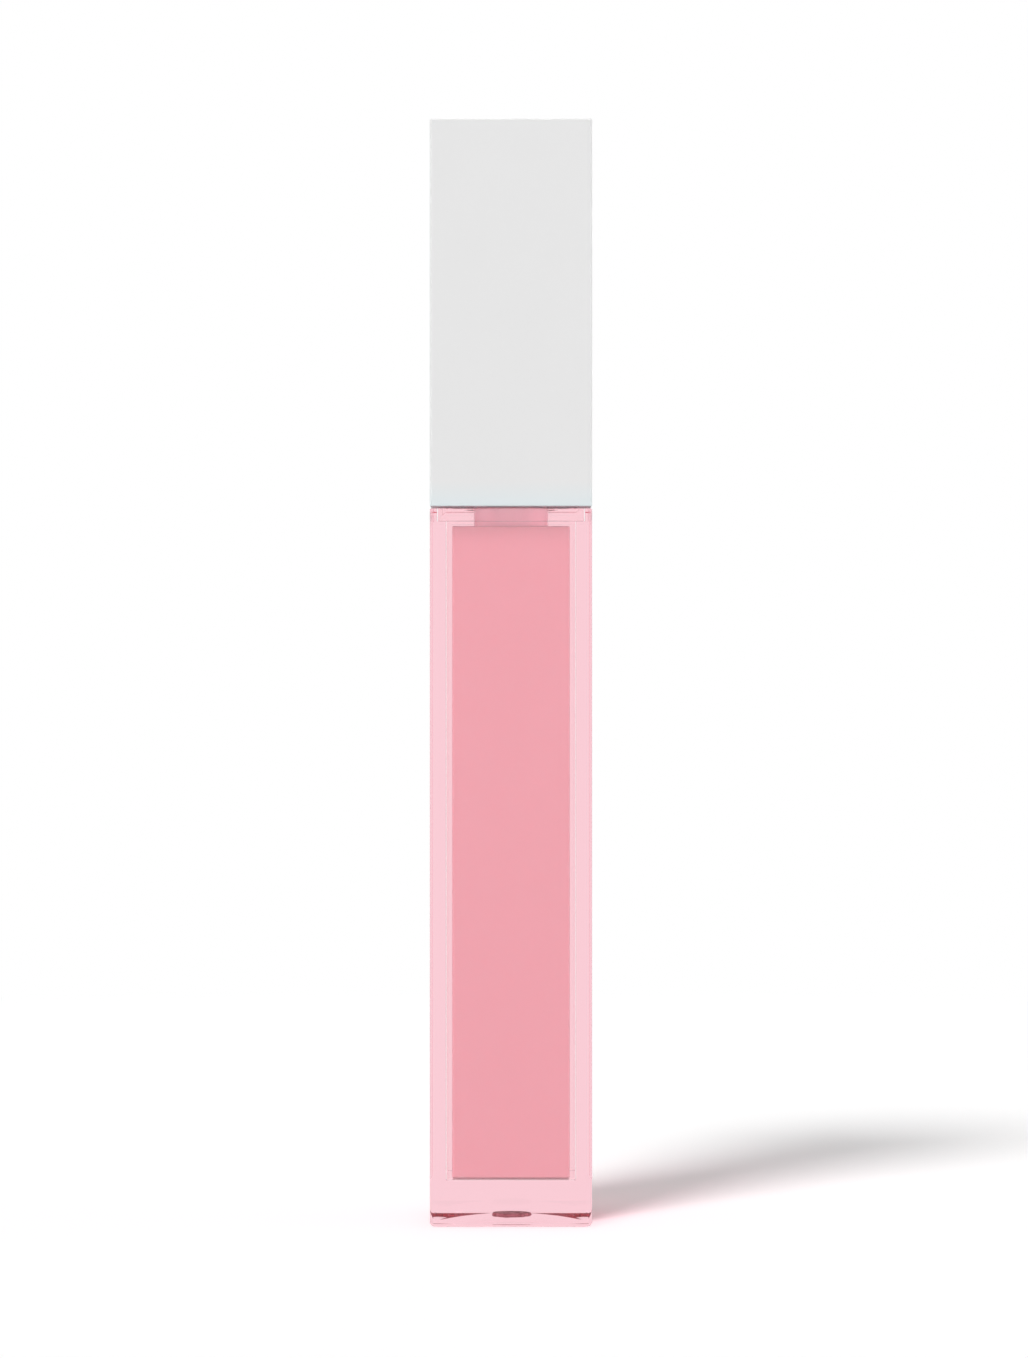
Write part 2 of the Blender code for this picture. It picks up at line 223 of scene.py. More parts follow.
paper, sheet, spot = blank_material("white_paper_floor")
fibres = add_node(sheet, "ShaderNodeTexNoise", {"Scale": 300.0, "Detail": 2.0})
bounce = add_node(sheet, "ShaderNodeMapRange", {"Value": fibres, "To Min": 0.78, "To Max": 0.82})
lit = add_node(sheet, "ShaderNodeBsdfDiffuse", {"Color": bounce})
shown_sheet = add_node(sheet, "ShaderNodeBsdfDiffuse", {"Color": (*[SHOWN_BRIGHTER] * 3, 1)})
bright = add_node(sheet, "ShaderNodeEmission", {"Color": linear("#FFFFFF"), "Strength": 1.0})
path = add_node(sheet, "ShaderNodeLightPath")
glossy_ray, bent_ray = path.outputs["Is Glossy Ray"], path.outputs["Is Transmission Ray"]
indirect = add_node(sheet, "ShaderNodeMath", {0: glossy_ray, 1: bent_ray}, operation="MAXIMUM")
away = add_node(sheet, "ShaderNodeVectorMath", {0: spot}, operation="LENGTH").outputs["Value"]
far = add_node(sheet, "ShaderNodeMapRange", {"Value": away, "From Min": SHADOW_REACH, "From Max": PLAIN_FROM})
plain = add_node(sheet, "ShaderNodeMath", {0: indirect, 1: far}, operation="MAXIMUM")
shown = add_node(sheet, "ShaderNodeMixShader", {0: plain, 1: shown_sheet, 2: bright})
seen = add_node(sheet, "ShaderNodeMixShader", {0: looking_rays(sheet), 1: lit, 2: shown})
below = add_node(sheet, "ShaderNodeNewGeometry").outputs["Backfacing"]
clear = add_node(sheet, "ShaderNodeBsdfTransparent", {"Color": linear("#FFFFFF")})
one_way = add_node(sheet, "ShaderNodeMixShader", {0: below, 1: seen.outputs[0], 2: clear.outputs[0]})
add_node(sheet, "ShaderNodeOutputMaterial", {"Surface": one_way.outputs[0]})

floor_mesh = bpy.data.meshes.new("floor")
half = FLOOR_SIZE / 2
floor_corners = [(x, y, -FLOOR_GAP) for x, y in ((-half, -half), (half, -half), (half, half), (-half, half))]
floor_mesh.from_pydata(floor_corners, [], [(0, 1, 2, 3)])
floor_mesh.materials.append(paper)
floor = bpy.data.objects.new("floor", floor_mesh)
bpy.context.scene.collection.objects.link(floor)
bpy.context.scene.view_settings.view_transform = "Standard"

# %% [markdown]
# ## Moulded shapes as a skin over rings
#
# Every moulded piece of this tube is a stack of outlines: rounded squares, circles, and steps from one
# to the other. Lofting is the natural way to build such a piece. Each outline is a ring with the same
# number of points, and quads join each ring to the next. A hollow piece is one skin that goes up the
# outside, over the rim and down the inside, so its wall is closed without any Boolean.
#
# A small radius on every moulded edge is what makes plastic look real, because it catches a line of
# light. `fillet` gives the in-between steps of a quarter circle.

# %% Rings and skins
CORNER_STEPS = 7
SIDE_STEPS = 22
ROUND_STEPS = 112
FILLET_STEPS = 4


def square_ring(width, corner, height):
    """An outline of a square with rounded corners, with points along its straight sides too."""
    points = []
    reach = width / 2 - corner
    for quarter in range(4):
        turn = Matrix.Rotation(quarter * pi / 2, 3, "Z")
        for step in range(CORNER_STEPS + 1):
            angle = pi / 2 * step / CORNER_STEPS
            points.append(turn @ Vector((reach + corner * cos(angle), reach + corner * sin(angle), height)))
        for step in range(1, SIDE_STEPS):
            points.append(turn @ Vector((reach * (1 - 2 * step / SIDE_STEPS), reach + corner, height)))
    return points


def circle(angles, radius, height):
    return [Vector((radius * cos(a), radius * sin(a), height)) for a in angles]


def round_ring(radius, height):
    """A circle of evenly spaced points."""
    return circle([2 * pi * step / ROUND_STEPS for step in range(ROUND_STEPS)], radius, height)


def round_like(ring, radius, height):
    """A circle whose points lie in the same directions as another ring's, so the two can be joined."""
    return circle([atan2(point.y, point.x) for point in ring], radius, height)


def fillet(size, start, stop):
    """Steps along a quarter circle from the angle start to stop, in degrees, as (out, up) offsets."""
    angles = [radians(start + (stop - start) * step / FILLET_STEPS) for step in range(FILLET_STEPS + 1)]
    return [(size * cos(a), size * sin(a)) for a in angles]


def rounded_edge(width, corner, face, size, start, stop):
    """The rings of a square piece's rounded edge, next to the flat face at the height face."""
    middle = face - size if start + stop > 0 else face + size
    steps = fillet(size, start, stop)
    return [square_ring(width - 2 * (size - out), corner, middle + up) for out, up in steps]


def skin(name, rings, loop=False):
    """A closed mesh over a stack of rings. Its ends are flat faces, or it closes on itself in a loop."""
    bm = bmesh.new()
    rows = [[bm.verts.new(point) for point in ring] for ring in rings]
    for row, after in zip(rows, rows[1:] + rows[:1] if loop else rows[1:]):
        for i in range(len(row)):
            j = (i + 1) % len(row)
            bm.faces.new((row[i], row[j], after[j], after[i]))
    if not loop:
        bm.faces.new(reversed(rows[0]))
        bm.faces.new(rows[-1])
    bmesh.ops.recalc_face_normals(bm, faces=bm.faces)
    mesh = bpy.data.meshes.new(name)
    bm.to_mesh(mesh)
    bm.free()
    return mesh


def lathed(name, outline, loop=False):
    """A skin over circles, from an outline of radius and height pairs."""
    return skin(name, [round_ring(radius, height) for radius, height in outline], loop)


print("points in a ring:", len(square_ring(16 * MM, 0.5 * MM, 0)), "and", len(round_ring(1, 0)))

# %% [markdown]
# ## Finishing a piece
#
# Smooth shading rounds the fillets, and marked sharp edges keep the steps crisp. On clear plastic the
# broad faces must also shade dead flat, or the light bends across them. The Weighted Normal modifier
# does that, because it lets large faces set the direction of the shading at their edges. It is then
# applied, so a plain mesh goes on.
#
# A finished piece sits at the origin with its place in its mesh, rides on the CAD body that it moves
# with, and stands for the CAD node that it replaces.

# %% Helpers that finish a piece
SHARP_ANGLE = radians(32)


def as_object(name, mesh):
    piece = bpy.data.objects.new(name, mesh)
    bpy.context.scene.collection.objects.link(piece)
    return piece


def applied(piece):
    """Gives a piece the mesh that its modifiers make, and drops the modifiers."""
    graph = bpy.context.evaluated_depsgraph_get()
    mesh = bpy.data.meshes.new_from_object(piece.evaluated_get(graph), depsgraph=graph)
    piece.modifiers.clear()
    piece.data = mesh
    return mesh


def combined(operation, mesh, other):
    """The exact Boolean of two meshes, as a new mesh."""
    base, tool = as_object("base", mesh), as_object("tool", other)
    modifier = base.modifiers.new("Boolean", "BOOLEAN")
    modifier.operation = operation
    modifier.solver = "EXACT"
    modifier.object = tool
    result = applied(base)
    bpy.data.objects.remove(base)
    bpy.data.objects.remove(tool)
    return result


def put_together(name, meshes):
    """One mesh from several that already lie in place."""
    bm = bmesh.new()
    for mesh in meshes:
        bm.from_mesh(mesh)
    whole = bpy.data.meshes.new(name)
    bm.to_mesh(whole)
    bm.free()
    return whole


def finished(name, mesh, material, body, node):
    """Shades a mesh, makes it a piece that rides on a body, and lets it stand for a CAD node."""
    mesh.materials.clear()
    mesh.materials.append(material)
    mesh.shade_smooth()
    mesh.set_sharp_from_angle(angle=SHARP_ANGLE)
    piece = as_object(name, mesh)
    weighted = piece.modifiers.new("Weighted Normal", "WEIGHTED_NORMAL")
    weighted.keep_sharp = True
    weighted.weight = 100
    applied(piece).name = name
    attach(piece, body)
    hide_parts(node)
    low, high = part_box(node)
    points = [v.co for v in piece.data.vertices]
    reach = [max(p[i] for p in points) - min(p[i] for p in points) for i in range(3)]
    print(f"{name}: {len(piece.data.polygons)} faces, {[round(r / MM, 2) for r in reach]} mm",
          f"for a CAD node of {[round(v / MM, 2) for v in high - low]} mm")
    return piece


# %% [markdown]
# ## Clear moulded plastic
#
# The bottle is injection-moulded styrene acrylonitrile (SAN), and the vial inside it is PETG. Both are
# polished, water-clear plastics with an index of refraction of about 1.57, a little above window
# glass. That gives them bright, sharp edges. The tube looks pink all through, because light from the
# gloss wanders about in the thick walls. That light is painted in: a pink Volume Absorption tints the
# clear plastic itself, a painted reflection of the gloss that deepens with the length of the path.
#
# Real moulded plastic is never quite flat, so a noise a few millimetres wide moves the normal a
# hair. Lamp light and diffuse light pass straight through the shell, or the gloss would sit in the dark.

# %% Clear plastic material
PLASTIC_IOR = 1.57
PAINTED_GLOSS_REFLECTION_DENSITY = 32.0
PAINTED_GLOSS_REFLECTION_TINT = (0.910, 0.040, 0.240, 1)


def clear_plastic(name, flow_size):
    """Polished clear plastic with faint flow waves, and a pink tint that paints in the gloss's reflection."""
    material, tree, place = blank_material(name)
    flow = add_node(tree, "ShaderNodeTexNoise", {"Vector": place, "Scale": 1 / flow_size, "Detail": 1.0})
    haze = add_node(tree, "ShaderNodeMapRange", {"Value": flow.outputs["Fac"], "To Min": 0.0, "To Max": 0.02})
    height = {"Height": flow.outputs["Fac"], "Strength": 0.05, "Distance": 0.02 * MM}
    waves = add_node(tree, "ShaderNodeBump", height)
    polished = {
        "Base Color": linear("#FFFDFD"),
        "Roughness": haze,
        "IOR": PLASTIC_IOR,
        "Transmission Weight": 1.0,
        "Normal": waves,
    }
    plastic = add_node(tree, "ShaderNodeBsdfPrincipled", polished)
    path = add_node(tree, "ShaderNodeLightPath")
    shadow_ray, diffuse_ray = path.outputs["Is Shadow Ray"], path.outputs["Is Diffuse Ray"]
    carries_light = add_node(tree, "ShaderNodeMath", {0: shadow_ray, 1: diffuse_ray}, operation="MAXIMUM")
    let_through = add_node(tree, "ShaderNodeBsdfTransparent", {"Color": linear("#FDFBFC")})
    surface = add_node(tree, "ShaderNodeMixShader", {0: carries_light, 1: plastic, 2: let_through})
    # Painted reflection: this pink absorption stands in for the gloss's light seen in the clear walls.
    depth = add_node(tree, "ShaderNodeVolumeAbsorption", {"Color": PAINTED_GLOSS_REFLECTION_TINT, "Density": PAINTED_GLOSS_REFLECTION_DENSITY})
    add_node(tree, "ShaderNodeOutputMaterial", {"Surface": surface, "Volume": depth})
    return material


# %% [markdown]
# ## The clear bottle
#
# The bottle is a square bar with a square pocket for the vial and a wider, shallow step at its mouth
# for the vial's flange. Moulders hollow out the underside into a shallow dome, so that the bottle
# stands on its rim.

# %% Clear bottle
WIDTH = tube_high.x - tube_low.x
BOTTLE_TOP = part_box("bottle_shell")[1].z
SHELL_CORNER, FOOT_EDGE, RIM_EDGE = 0.5 * MM, 0.45 * MM, 0.1 * MM
CAVITY_WIDTH, CAVITY_FLOOR, CAVITY_CORNER, CAVITY_CHAMFER = 12.9 * MM, 4.535 * MM, 0.21 * MM, 0.08 * MM
REBATE_WIDTH, REBATE_FLOOR, REBATE_CORNER = 14.63 * MM, 69.535 * MM, 0.26 * MM
DISH_RADIUS, DISH_MIDDLE, DISH_DEPTH, DISH_STEPS = 7.3 * MM, 0.3 * MM, 0.7 * MM, 14


def dome_height(radius):
    """Height of the underside's dome at a radius: a slice of a large sphere."""
    sphere = (DISH_RADIUS**2 + DISH_DEPTH**2) / (2 * DISH_DEPTH)
    return DISH_DEPTH - sphere + (sphere**2 - radius**2) ** 0.5


def bottle_rings():
    foot = square_ring(WIDTH, SHELL_CORNER, 0)
    rings = []
    for step in range(DISH_STEPS + 1):
        radius = DISH_MIDDLE + (DISH_RADIUS - DISH_MIDDLE) * step / DISH_STEPS
        rings.append(round_like(foot, radius, dome_height(radius)))
    rings += rounded_edge(WIDTH, SHELL_CORNER, 0, FOOT_EDGE, -90, 0)
    rings += rounded_edge(WIDTH, SHELL_CORNER, BOTTLE_TOP, RIM_EDGE, 0, 90)
    return rings + [
        square_ring(REBATE_WIDTH, REBATE_CORNER, BOTTLE_TOP),
        square_ring(REBATE_WIDTH, REBATE_CORNER, REBATE_FLOOR),
        square_ring(CAVITY_WIDTH, CAVITY_CORNER, REBATE_FLOOR),
        square_ring(CAVITY_WIDTH, CAVITY_CORNER, CAVITY_FLOOR + CAVITY_CHAMFER),
        square_ring(CAVITY_WIDTH - 2 * CAVITY_CHAMFER, CAVITY_CORNER, CAVITY_FLOOR),
    ]


clear_san = clear_plastic("clear_san_moulding", 9 * MM)
bottle = skin("clear_bottle", bottle_rings())
finished("clear_bottle", bottle, clear_san, "bottle", "bottle_shell")

# %% [markdown]
# ## The gate stub
#
# Plastic enters the bottle's mould through a gate in the middle of the dome, and leaves a small stub
# there that is torn or twisted off. The torn face scatters light, so it reads as a dark rose mark
# through the clear base. Its outline is a circle made ragged by a few waves, and its upper end is sunk
# 0.2 mm into the dome so that no air shows between them.

# %% Gate stub
GATE_RADIUS, GATE_BOTTOM, INTO_DOME = 2.05 * MM, 0.35 * MM, 0.2 * MM


def torn_plastic(name):
    """The torn, dull plastic of a gate, in patches of dark and pale rose."""
    material, tree, place = blank_material(name)
    tears = add_node(tree, "ShaderNodeTexNoise", {"Vector": place, "Scale": 1 / (0.6 * MM), "Detail": 4.0})
    patch = add_node(tree, "ShaderNodeMapRange", {"Value": tears, "From Min": 0.35, "From Max": 0.65})
    rose = {0: patch, 6: linear("#9E4F5C"), 7: linear("#D58A96")}
    tone = add_node(tree, "ShaderNodeMix", rose, data_type="RGBA").outputs[2]
    dull = add_node(tree, "ShaderNodeMapRange", {"Value": patch, "To Min": 0.65, "To Max": 0.4})
    ragged = add_node(tree, "ShaderNodeBump", {"Height": patch, "Strength": 1.0, "Distance": 0.1 * MM})
    torn = {"Base Color": tone, "Roughness": dull, "IOR": PLASTIC_IOR, "Normal": ragged}
    stub = add_node(tree, "ShaderNodeBsdfPrincipled", torn)
    add_node(tree, "ShaderNodeOutputMaterial", {"Surface": stub})
    return material


def ragged_ring(radius, height):
    """A circle with a few waves, each point lifted to the height that goes with its own radius."""
    points = []
    for point in round_ring(1, 0):
        angle = atan2(point.y, point.x)
        out = radius * (1 + 0.03 * sin(3 * angle + 1) + 0.03 * sin(7 * angle + 2) + 0.02 * sin(13 * angle))
        points.append(Vector((out * cos(angle), out * sin(angle), height(out))))
    return points


def gate_rings():
    """Three rings for the torn end, then three that follow the dome and sink into it."""
    return [
        ragged_ring(GATE_RADIUS * 0.5, lambda out: GATE_BOTTOM + 0.12 * MM),
        ragged_ring(GATE_RADIUS * 0.82, lambda out: GATE_BOTTOM),
        ragged_ring(GATE_RADIUS * 0.93, lambda out: GATE_BOTTOM + 0.1 * MM),
        ragged_ring(GATE_RADIUS * 0.95, lambda out: dome_height(out) + 0.1 * INTO_DOME),
        ragged_ring(GATE_RADIUS * 0.9, lambda out: dome_height(out) + INTO_DOME),
        ragged_ring(GATE_RADIUS * 0.4, lambda out: dome_height(out) + 1.2 * INTO_DOME),
    ]


torn_san = torn_plastic("torn_san_gate")
finished("gate_stub", skin("gate_stub", gate_rings()), torn_san, "bottle", "bottle_shell")

# %% [markdown]
# ## A screw thread
#
# A thread is one section carried along a helix, which is just what Curve to Mesh does. The tree takes
# the real sizes: radius, pitch, turns, and how far the ridge stands out. Its Spiral runs in reverse,
# because a cap tightens clockwise and so needs a right-hand helix. The section shrinks to a sliver
# over the last part of a turn at both ends, as a moulded thread's run-out does. The same tree makes the
# neck's outer ridge and the cap's inner ridge, with the ridge pointing out or in.

# %% Thread tree
def new_tree(name, inputs):
    """A Geometry Nodes tree with named inputs, each (name, socket type)."""
    tree = bpy.data.node_groups.new(name, "GeometryNodeTree")
    tree.interface.new_socket("Geometry", in_out="INPUT", socket_type="NodeSocketGeometry")
    for label, kind in inputs:
        tree.interface.new_socket(label, in_out="INPUT", socket_type=kind)
    tree.interface.new_socket("Geometry", in_out="OUTPUT", socket_type="NodeSocketGeometry")
    return tree, add_node(tree, "NodeGroupInput").outputs


def close_tree(tree, geometry, material):
    """Ends a tree: instances become real mesh, and the mesh gets its material."""
    real = add_node(tree, "GeometryNodeRealizeInstances", {0: geometry})
    painted = add_node(tree, "GeometryNodeSetMaterial", {"Geometry": real, "Material": material})
    add_node(tree, "NodeGroupOutput", {0: painted})


def grown(name, host_mesh, tree, sizes):
    """Runs a tree on a host mesh and returns the plain mesh that it makes."""
    host = as_object(name, host_mesh)
    modifier = host.modifiers.new(name, "NODES")
    modifier.node_group = tree
    for item in tree.interface.items_tree:
        if item.item_type == "SOCKET" and item.in_out == "INPUT" and item.name in sizes:
            modifier[item.identifier] = sizes[item.name]
    mesh = applied(host)
    bpy.data.objects.remove(host)
    print(f"{name}: {len(mesh.polygons)} faces from {tree.name}")
    return mesh


def thread_tree():
    lengths = ("Radius", "Pitch", "Turns", "Start", "Stands out", "Foot width", "Crest width", "Run-out")
    inputs = [(label, "NodeSocketFloat") for label in lengths] + [("Material", "NodeSocketMaterial")]
    tree, sizes = new_tree("thread_ridge", inputs)
    climb = add_node(tree, "ShaderNodeMath", {0: sizes["Pitch"], 1: sizes["Turns"]}, operation="MULTIPLY")
    coil = {
        "Resolution": HELIX_STEPS,
        "Rotations": sizes["Turns"],
        "Start Radius": sizes["Radius"],
        "End Radius": sizes["Radius"],
        "Height": climb,
        "Reverse": True,
    }
    helix = add_node(tree, "GeometryNodeCurveSpiral", coil)
    upright = add_node(tree, "GeometryNodeSetCurveNormal", {"Curve": helix}, mode="Z_UP")
    height = add_node(tree, "ShaderNodeMath", {0: sizes["Stands out"]}, operation="ABSOLUTE")
    widths = {"Bottom Width": sizes["Foot width"], "Top Width": sizes["Crest width"], "Offset": 0.0}
    outline = {"Height": height, **widths}
    section = add_node(tree, "GeometryNodeCurvePrimitiveQuadrilateral", outline, mode="TRAPEZOID")
    middle = add_node(tree, "ShaderNodeMath", {0: height, 1: 0.5}, operation="MULTIPLY")
    out = add_node(tree, "ShaderNodeCombineXYZ", {"Y": middle})
    on_root = add_node(tree, "GeometryNodeTransform", {"Geometry": section, "Translation": out})
    side = add_node(tree, "ShaderNodeMath", {0: sizes["Stands out"]}, operation="SIGN")
    either_way = add_node(tree, "ShaderNodeCombineXYZ", {"X": 1.0, "Y": side, "Z": 1.0})
    faced = add_node(tree, "GeometryNodeTransform", {"Geometry": on_root, "Scale": either_way})
    turned = add_node(tree, "GeometryNodeTransform", {"Geometry": faced, "Rotation": (0, 0, radians(-90))})
    along = add_node(tree, "GeometryNodeSplineParameter").outputs["Factor"]
    other_end = add_node(tree, "ShaderNodeMath", {0: 1.0, 1: along}, operation="SUBTRACT")
    nearer = add_node(tree, "ShaderNodeMath", {0: along, 1: other_end}, operation="MINIMUM")
    turns_in = add_node(tree, "ShaderNodeMath", {0: nearer, 1: sizes["Turns"]}, operation="MULTIPLY")
    run_out = {"Value": turns_in, "From Max": sizes["Run-out"], "To Min": RIDGE_END, "To Max": 1.0}
    fade = add_node(tree, "ShaderNodeMapRange", run_out)
    swept = {"Curve": upright, "Profile Curve": turned, "Scale": fade, "Fill Caps": True}
    ridge = add_node(tree, "GeometryNodeCurveToMesh", swept)
    rise = add_node(tree, "ShaderNodeCombineXYZ", {"Z": sizes["Start"]})
    placed = add_node(tree, "GeometryNodeTransform", {"Geometry": ridge, "Translation": rise})
    close_tree(tree, placed, sizes["Material"])
    return tree


HELIX_STEPS, RUN_OUT, RIDGE_END = 72, 0.16, 0.15
THREAD_PITCH, THREAD_TURNS, THREAD_START = 2.1 * MM, 1.5, 73.1 * MM
RIDGE_FOOT, RIDGE_CREST, RIDGE_ROOT = 0.8 * MM, 0.35 * MM, 0.3 * MM
thread = thread_tree()


def thread_ridge(name, root_radius, crest_radius, start, material):
    """A closed mesh of one helical ridge from a root radius out, or in, to a crest radius."""
    sizes = {
        "Radius": root_radius,
        "Pitch": THREAD_PITCH,
        "Turns": THREAD_TURNS,
        "Start": start,
        "Stands out": crest_radius - root_radius,
        "Foot width": RIDGE_FOOT,
        "Crest width": RIDGE_CREST,
        "Run-out": RUN_OUT,
        "Material": material,
    }
    ridge = grown(name, bpy.data.meshes.new(name), thread, sizes)
    bm = bmesh.new()
    bm.from_mesh(ridge)
    bmesh.ops.remove_doubles(bm, verts=bm.verts, dist=1e-7)
    bmesh.ops.recalc_face_normals(bm, faces=bm.faces)
    bm.to_mesh(ridge)
    bm.free()
    radii = [hypot(v.co.x, v.co.y) / MM for v in ridge.vertices]
    heights = [v.co.z / MM for v in ridge.vertices]
    spans = [f"{min(span):.2f} to {max(span):.2f} mm" for span in (radii, heights)]
    print(f"{name}: radius {spans[0]}, height {spans[1]}")
    return ridge


# %% [markdown]
# ## The clear vial
#
# The vial holds the gloss. It is a thin square tube with a floor, a square flange that sits in the
# bottle's mouth, and a round neck with the screw thread. One skin makes it: from the middle of the
# floor out, up the outside to the neck's rim, then down the bore and the inside. The ridge is joined
# to the neck by a Boolean, because in clear plastic an overlap of two meshes would show as a false face.

# %% Clear vial
VIAL_WIDTH, VIAL_CORNER, VIAL_BOTTOM, VIAL_EDGE = 12.87 * MM, 0.2 * MM, 4.55 * MM, 0.05 * MM
VIAL_INSIDE, VIAL_INSIDE_CORNER = 11.6 * MM, 0.3 * MM
VIAL_FLOOR, VIAL_CEILING, INSIDE_EDGE = 4.75 * MM, 69.1 * MM, 0.1 * MM
FLANGE_WIDTH, FLANGE_CORNER, FLANGE_BOTTOM, FLANGE_EDGE = 14.6 * MM, 0.25 * MM, 69.55 * MM, 0.04 * MM
NECK_RADIUS, NECK_BORE, NECK_TOP, NECK_CHAMFER = 4.7 * MM, 3.7 * MM, 79.0 * MM, 0.2 * MM
NECK_FILLET, BORE_CHAMFER, NECK_RIDGE_CREST = 0.1 * MM, 0.1 * MM, 5.35 * MM


def vial_rings():
    rings = rounded_edge(VIAL_WIDTH, VIAL_CORNER, VIAL_BOTTOM, VIAL_EDGE, -90, 0)
    rings.append(square_ring(VIAL_WIDTH, VIAL_CORNER, FLANGE_BOTTOM))
    rings += rounded_edge(FLANGE_WIDTH, FLANGE_CORNER, FLANGE_BOTTOM, FLANGE_EDGE, -90, 0)
    rings += rounded_edge(FLANGE_WIDTH, FLANGE_CORNER, BOTTLE_TOP, FLANGE_EDGE, 0, 90)
    flange = square_ring(FLANGE_WIDTH, FLANGE_CORNER, BOTTLE_TOP)
    for out, up in fillet(NECK_FILLET, -90, -180):
        rings.append(round_like(flange, NECK_RADIUS + NECK_FILLET + out, BOTTLE_TOP + NECK_FILLET + up))
    neck = [(NECK_RADIUS, NECK_TOP - NECK_CHAMFER), (NECK_RADIUS - NECK_CHAMFER, NECK_TOP)]
    neck += [(NECK_BORE + BORE_CHAMFER, NECK_TOP), (NECK_BORE, NECK_TOP - BORE_CHAMFER)]
    neck.append((NECK_BORE, VIAL_CEILING))
    rings += [round_like(flange, radius, height) for radius, height in neck]
    narrow = VIAL_INSIDE - 2 * INSIDE_EDGE
    inside = [(narrow, VIAL_CEILING), (VIAL_INSIDE, VIAL_CEILING - INSIDE_EDGE)]
    inside += [(VIAL_INSIDE, VIAL_FLOOR + INSIDE_EDGE), (narrow, VIAL_FLOOR)]
    return rings + [square_ring(width, VIAL_INSIDE_CORNER, height) for width, height in inside]


clear_petg = clear_plastic("clear_petg_moulding", 7 * MM)
neck_ridge = thread_ridge("neck_thread", NECK_RADIUS - RIDGE_ROOT, NECK_RIDGE_CREST, THREAD_START, clear_petg)
vial = combined("UNION", skin("vial", vial_rings()), neck_ridge)
finished("clear_vial", vial, clear_petg, "bottle", "inner_vial")

# %% [markdown]
# ## The gloss
#
# Lip gloss is a thick oil full of fine pigment. It is opaque and wet, and it clings to every wall that
# it touches. The fill is therefore a hair wider than the vial's inside, so no air shows between the
# two, and its top surface climbs a little where it meets the neck and the wand. The well down its
# middle is the room that the wand takes up. In the narrow neck the gloss is only a thin sleeve round
# the wand, in the cap's shade, and its colour there is painted paler: painted light for that column.

# %% Gloss fill
GLOSS_OVERLAP, GLOSS_TOP = 0.01 * MM, 70.7 * MM
WELL_RADIUS, WELL_FLOOR = 2.3 * MM, 7.6 * MM


def pigmented_gloss(name, roughness):
    """Opaque pink gloss with a very faint swirl of pigment, painted paler in the shaded neck."""
    material, tree, place = blank_material(name)
    pattern = {"Vector": place, "Scale": 1 / (6 * MM), "Detail": 3.0, "Distortion": 1.5}
    swirl = add_node(tree, "ShaderNodeTexNoise", pattern).outputs["Fac"]
    pinks = {0: swirl, 6: linear("#F4A3AE"), 7: linear("#F6A8B3")}
    shade = add_node(tree, "ShaderNodeMix", pinks, data_type="RGBA").outputs[2]
    # Painted light: the gloss in the neck, shaded by the cap, is painted paler from the vial's ceiling up.
    height = add_node(tree, "ShaderNodeSeparateXYZ", {0: place}).outputs["Z"]
    painted_neck_light_span = {"Value": height, "From Min": VIAL_CEILING - 0.1 * MM, "From Max": VIAL_CEILING + 0.05 * MM}
    painted_neck_light = add_node(tree, "ShaderNodeMapRange", painted_neck_light_span)
    painted_neck_light_tones = {0: painted_neck_light, 6: shade, 7: linear("#FFCAD4")}
    tone = add_node(tree, "ShaderNodeMix", painted_neck_light_tones, data_type="RGBA").outputs[2]
    shine = {"Value": swirl, "To Min": roughness, "To Max": roughness + 0.08}
    wet = add_node(tree, "ShaderNodeMapRange", shine)
    thick_oil = {
        "Base Color": tone,
        "Roughness": wet,
        "IOR": 1.47,
        "Subsurface Weight": 0.15,
        "Subsurface Radius": (1.0, 0.6, 0.6),
        "Subsurface Scale": 0.6 * MM,
    }
    gloss = add_node(tree, "ShaderNodeBsdfPrincipled", thick_oil)
    add_node(tree, "ShaderNodeOutputMaterial", {"Surface": gloss})
    return material


def gloss_rings():
    """The square fill, the neck's round column, and a top that climbs at both of its edges."""
    wide, bore = VIAL_INSIDE + 2 * GLOSS_OVERLAP, NECK_BORE + GLOSS_OVERLAP
    narrow = wide - 2 * INSIDE_EDGE
    low, high = VIAL_FLOOR - GLOSS_OVERLAP, VIAL_CEILING + GLOSS_OVERLAP
    body = [(narrow, low), (wide, low + INSIDE_EDGE), (wide, high - INSIDE_EDGE), (narrow, high)]
    column = [(bore, high), (bore, GLOSS_TOP + 0.35 * MM), (bore - 0.15 * MM, GLOSS_TOP + 0.1 * MM)]
    column += [(bore - 0.4 * MM, GLOSS_TOP), (WELL_RADIUS + 0.35 * MM, GLOSS_TOP)]
    column += [(WELL_RADIUS + 0.1 * MM, GLOSS_TOP + 0.12 * MM), (WELL_RADIUS, GLOSS_TOP + 0.3 * MM)]
    column += [(WELL_RADIUS, WELL_FLOOR)]
    rings = [square_ring(width, VIAL_INSIDE_CORNER, height) for width, height in body]
    return rings + [round_like(square_ring(wide, VIAL_INSIDE_CORNER, 0), *place) for place in column]


pink_gloss = pigmented_gloss("pink_pigmented_gloss", 0.16)
finished("gloss_fill", skin("gloss_fill", gloss_rings()), pink_gloss, "bottle", "lip_gloss")

# %% [markdown]
# ## Opaque and milky plastics
#
# The other mouldings are polyolefins (polypropylene and polyethylene), which are milky: light sinks a
# fraction of a millimetre into them and comes out softened, so they get a little subsurface. The
# mould's spark-eroded surface gives a fine grain. Its real grain is about 0.05 mm, which is too fine
# to show, so it is drawn four times as coarse. A slow noise shifts the tone and the sheen a little, as
# uneven cooling does.

# %% Moulded plastic material
GRAIN_SIZE = 0.2 * MM


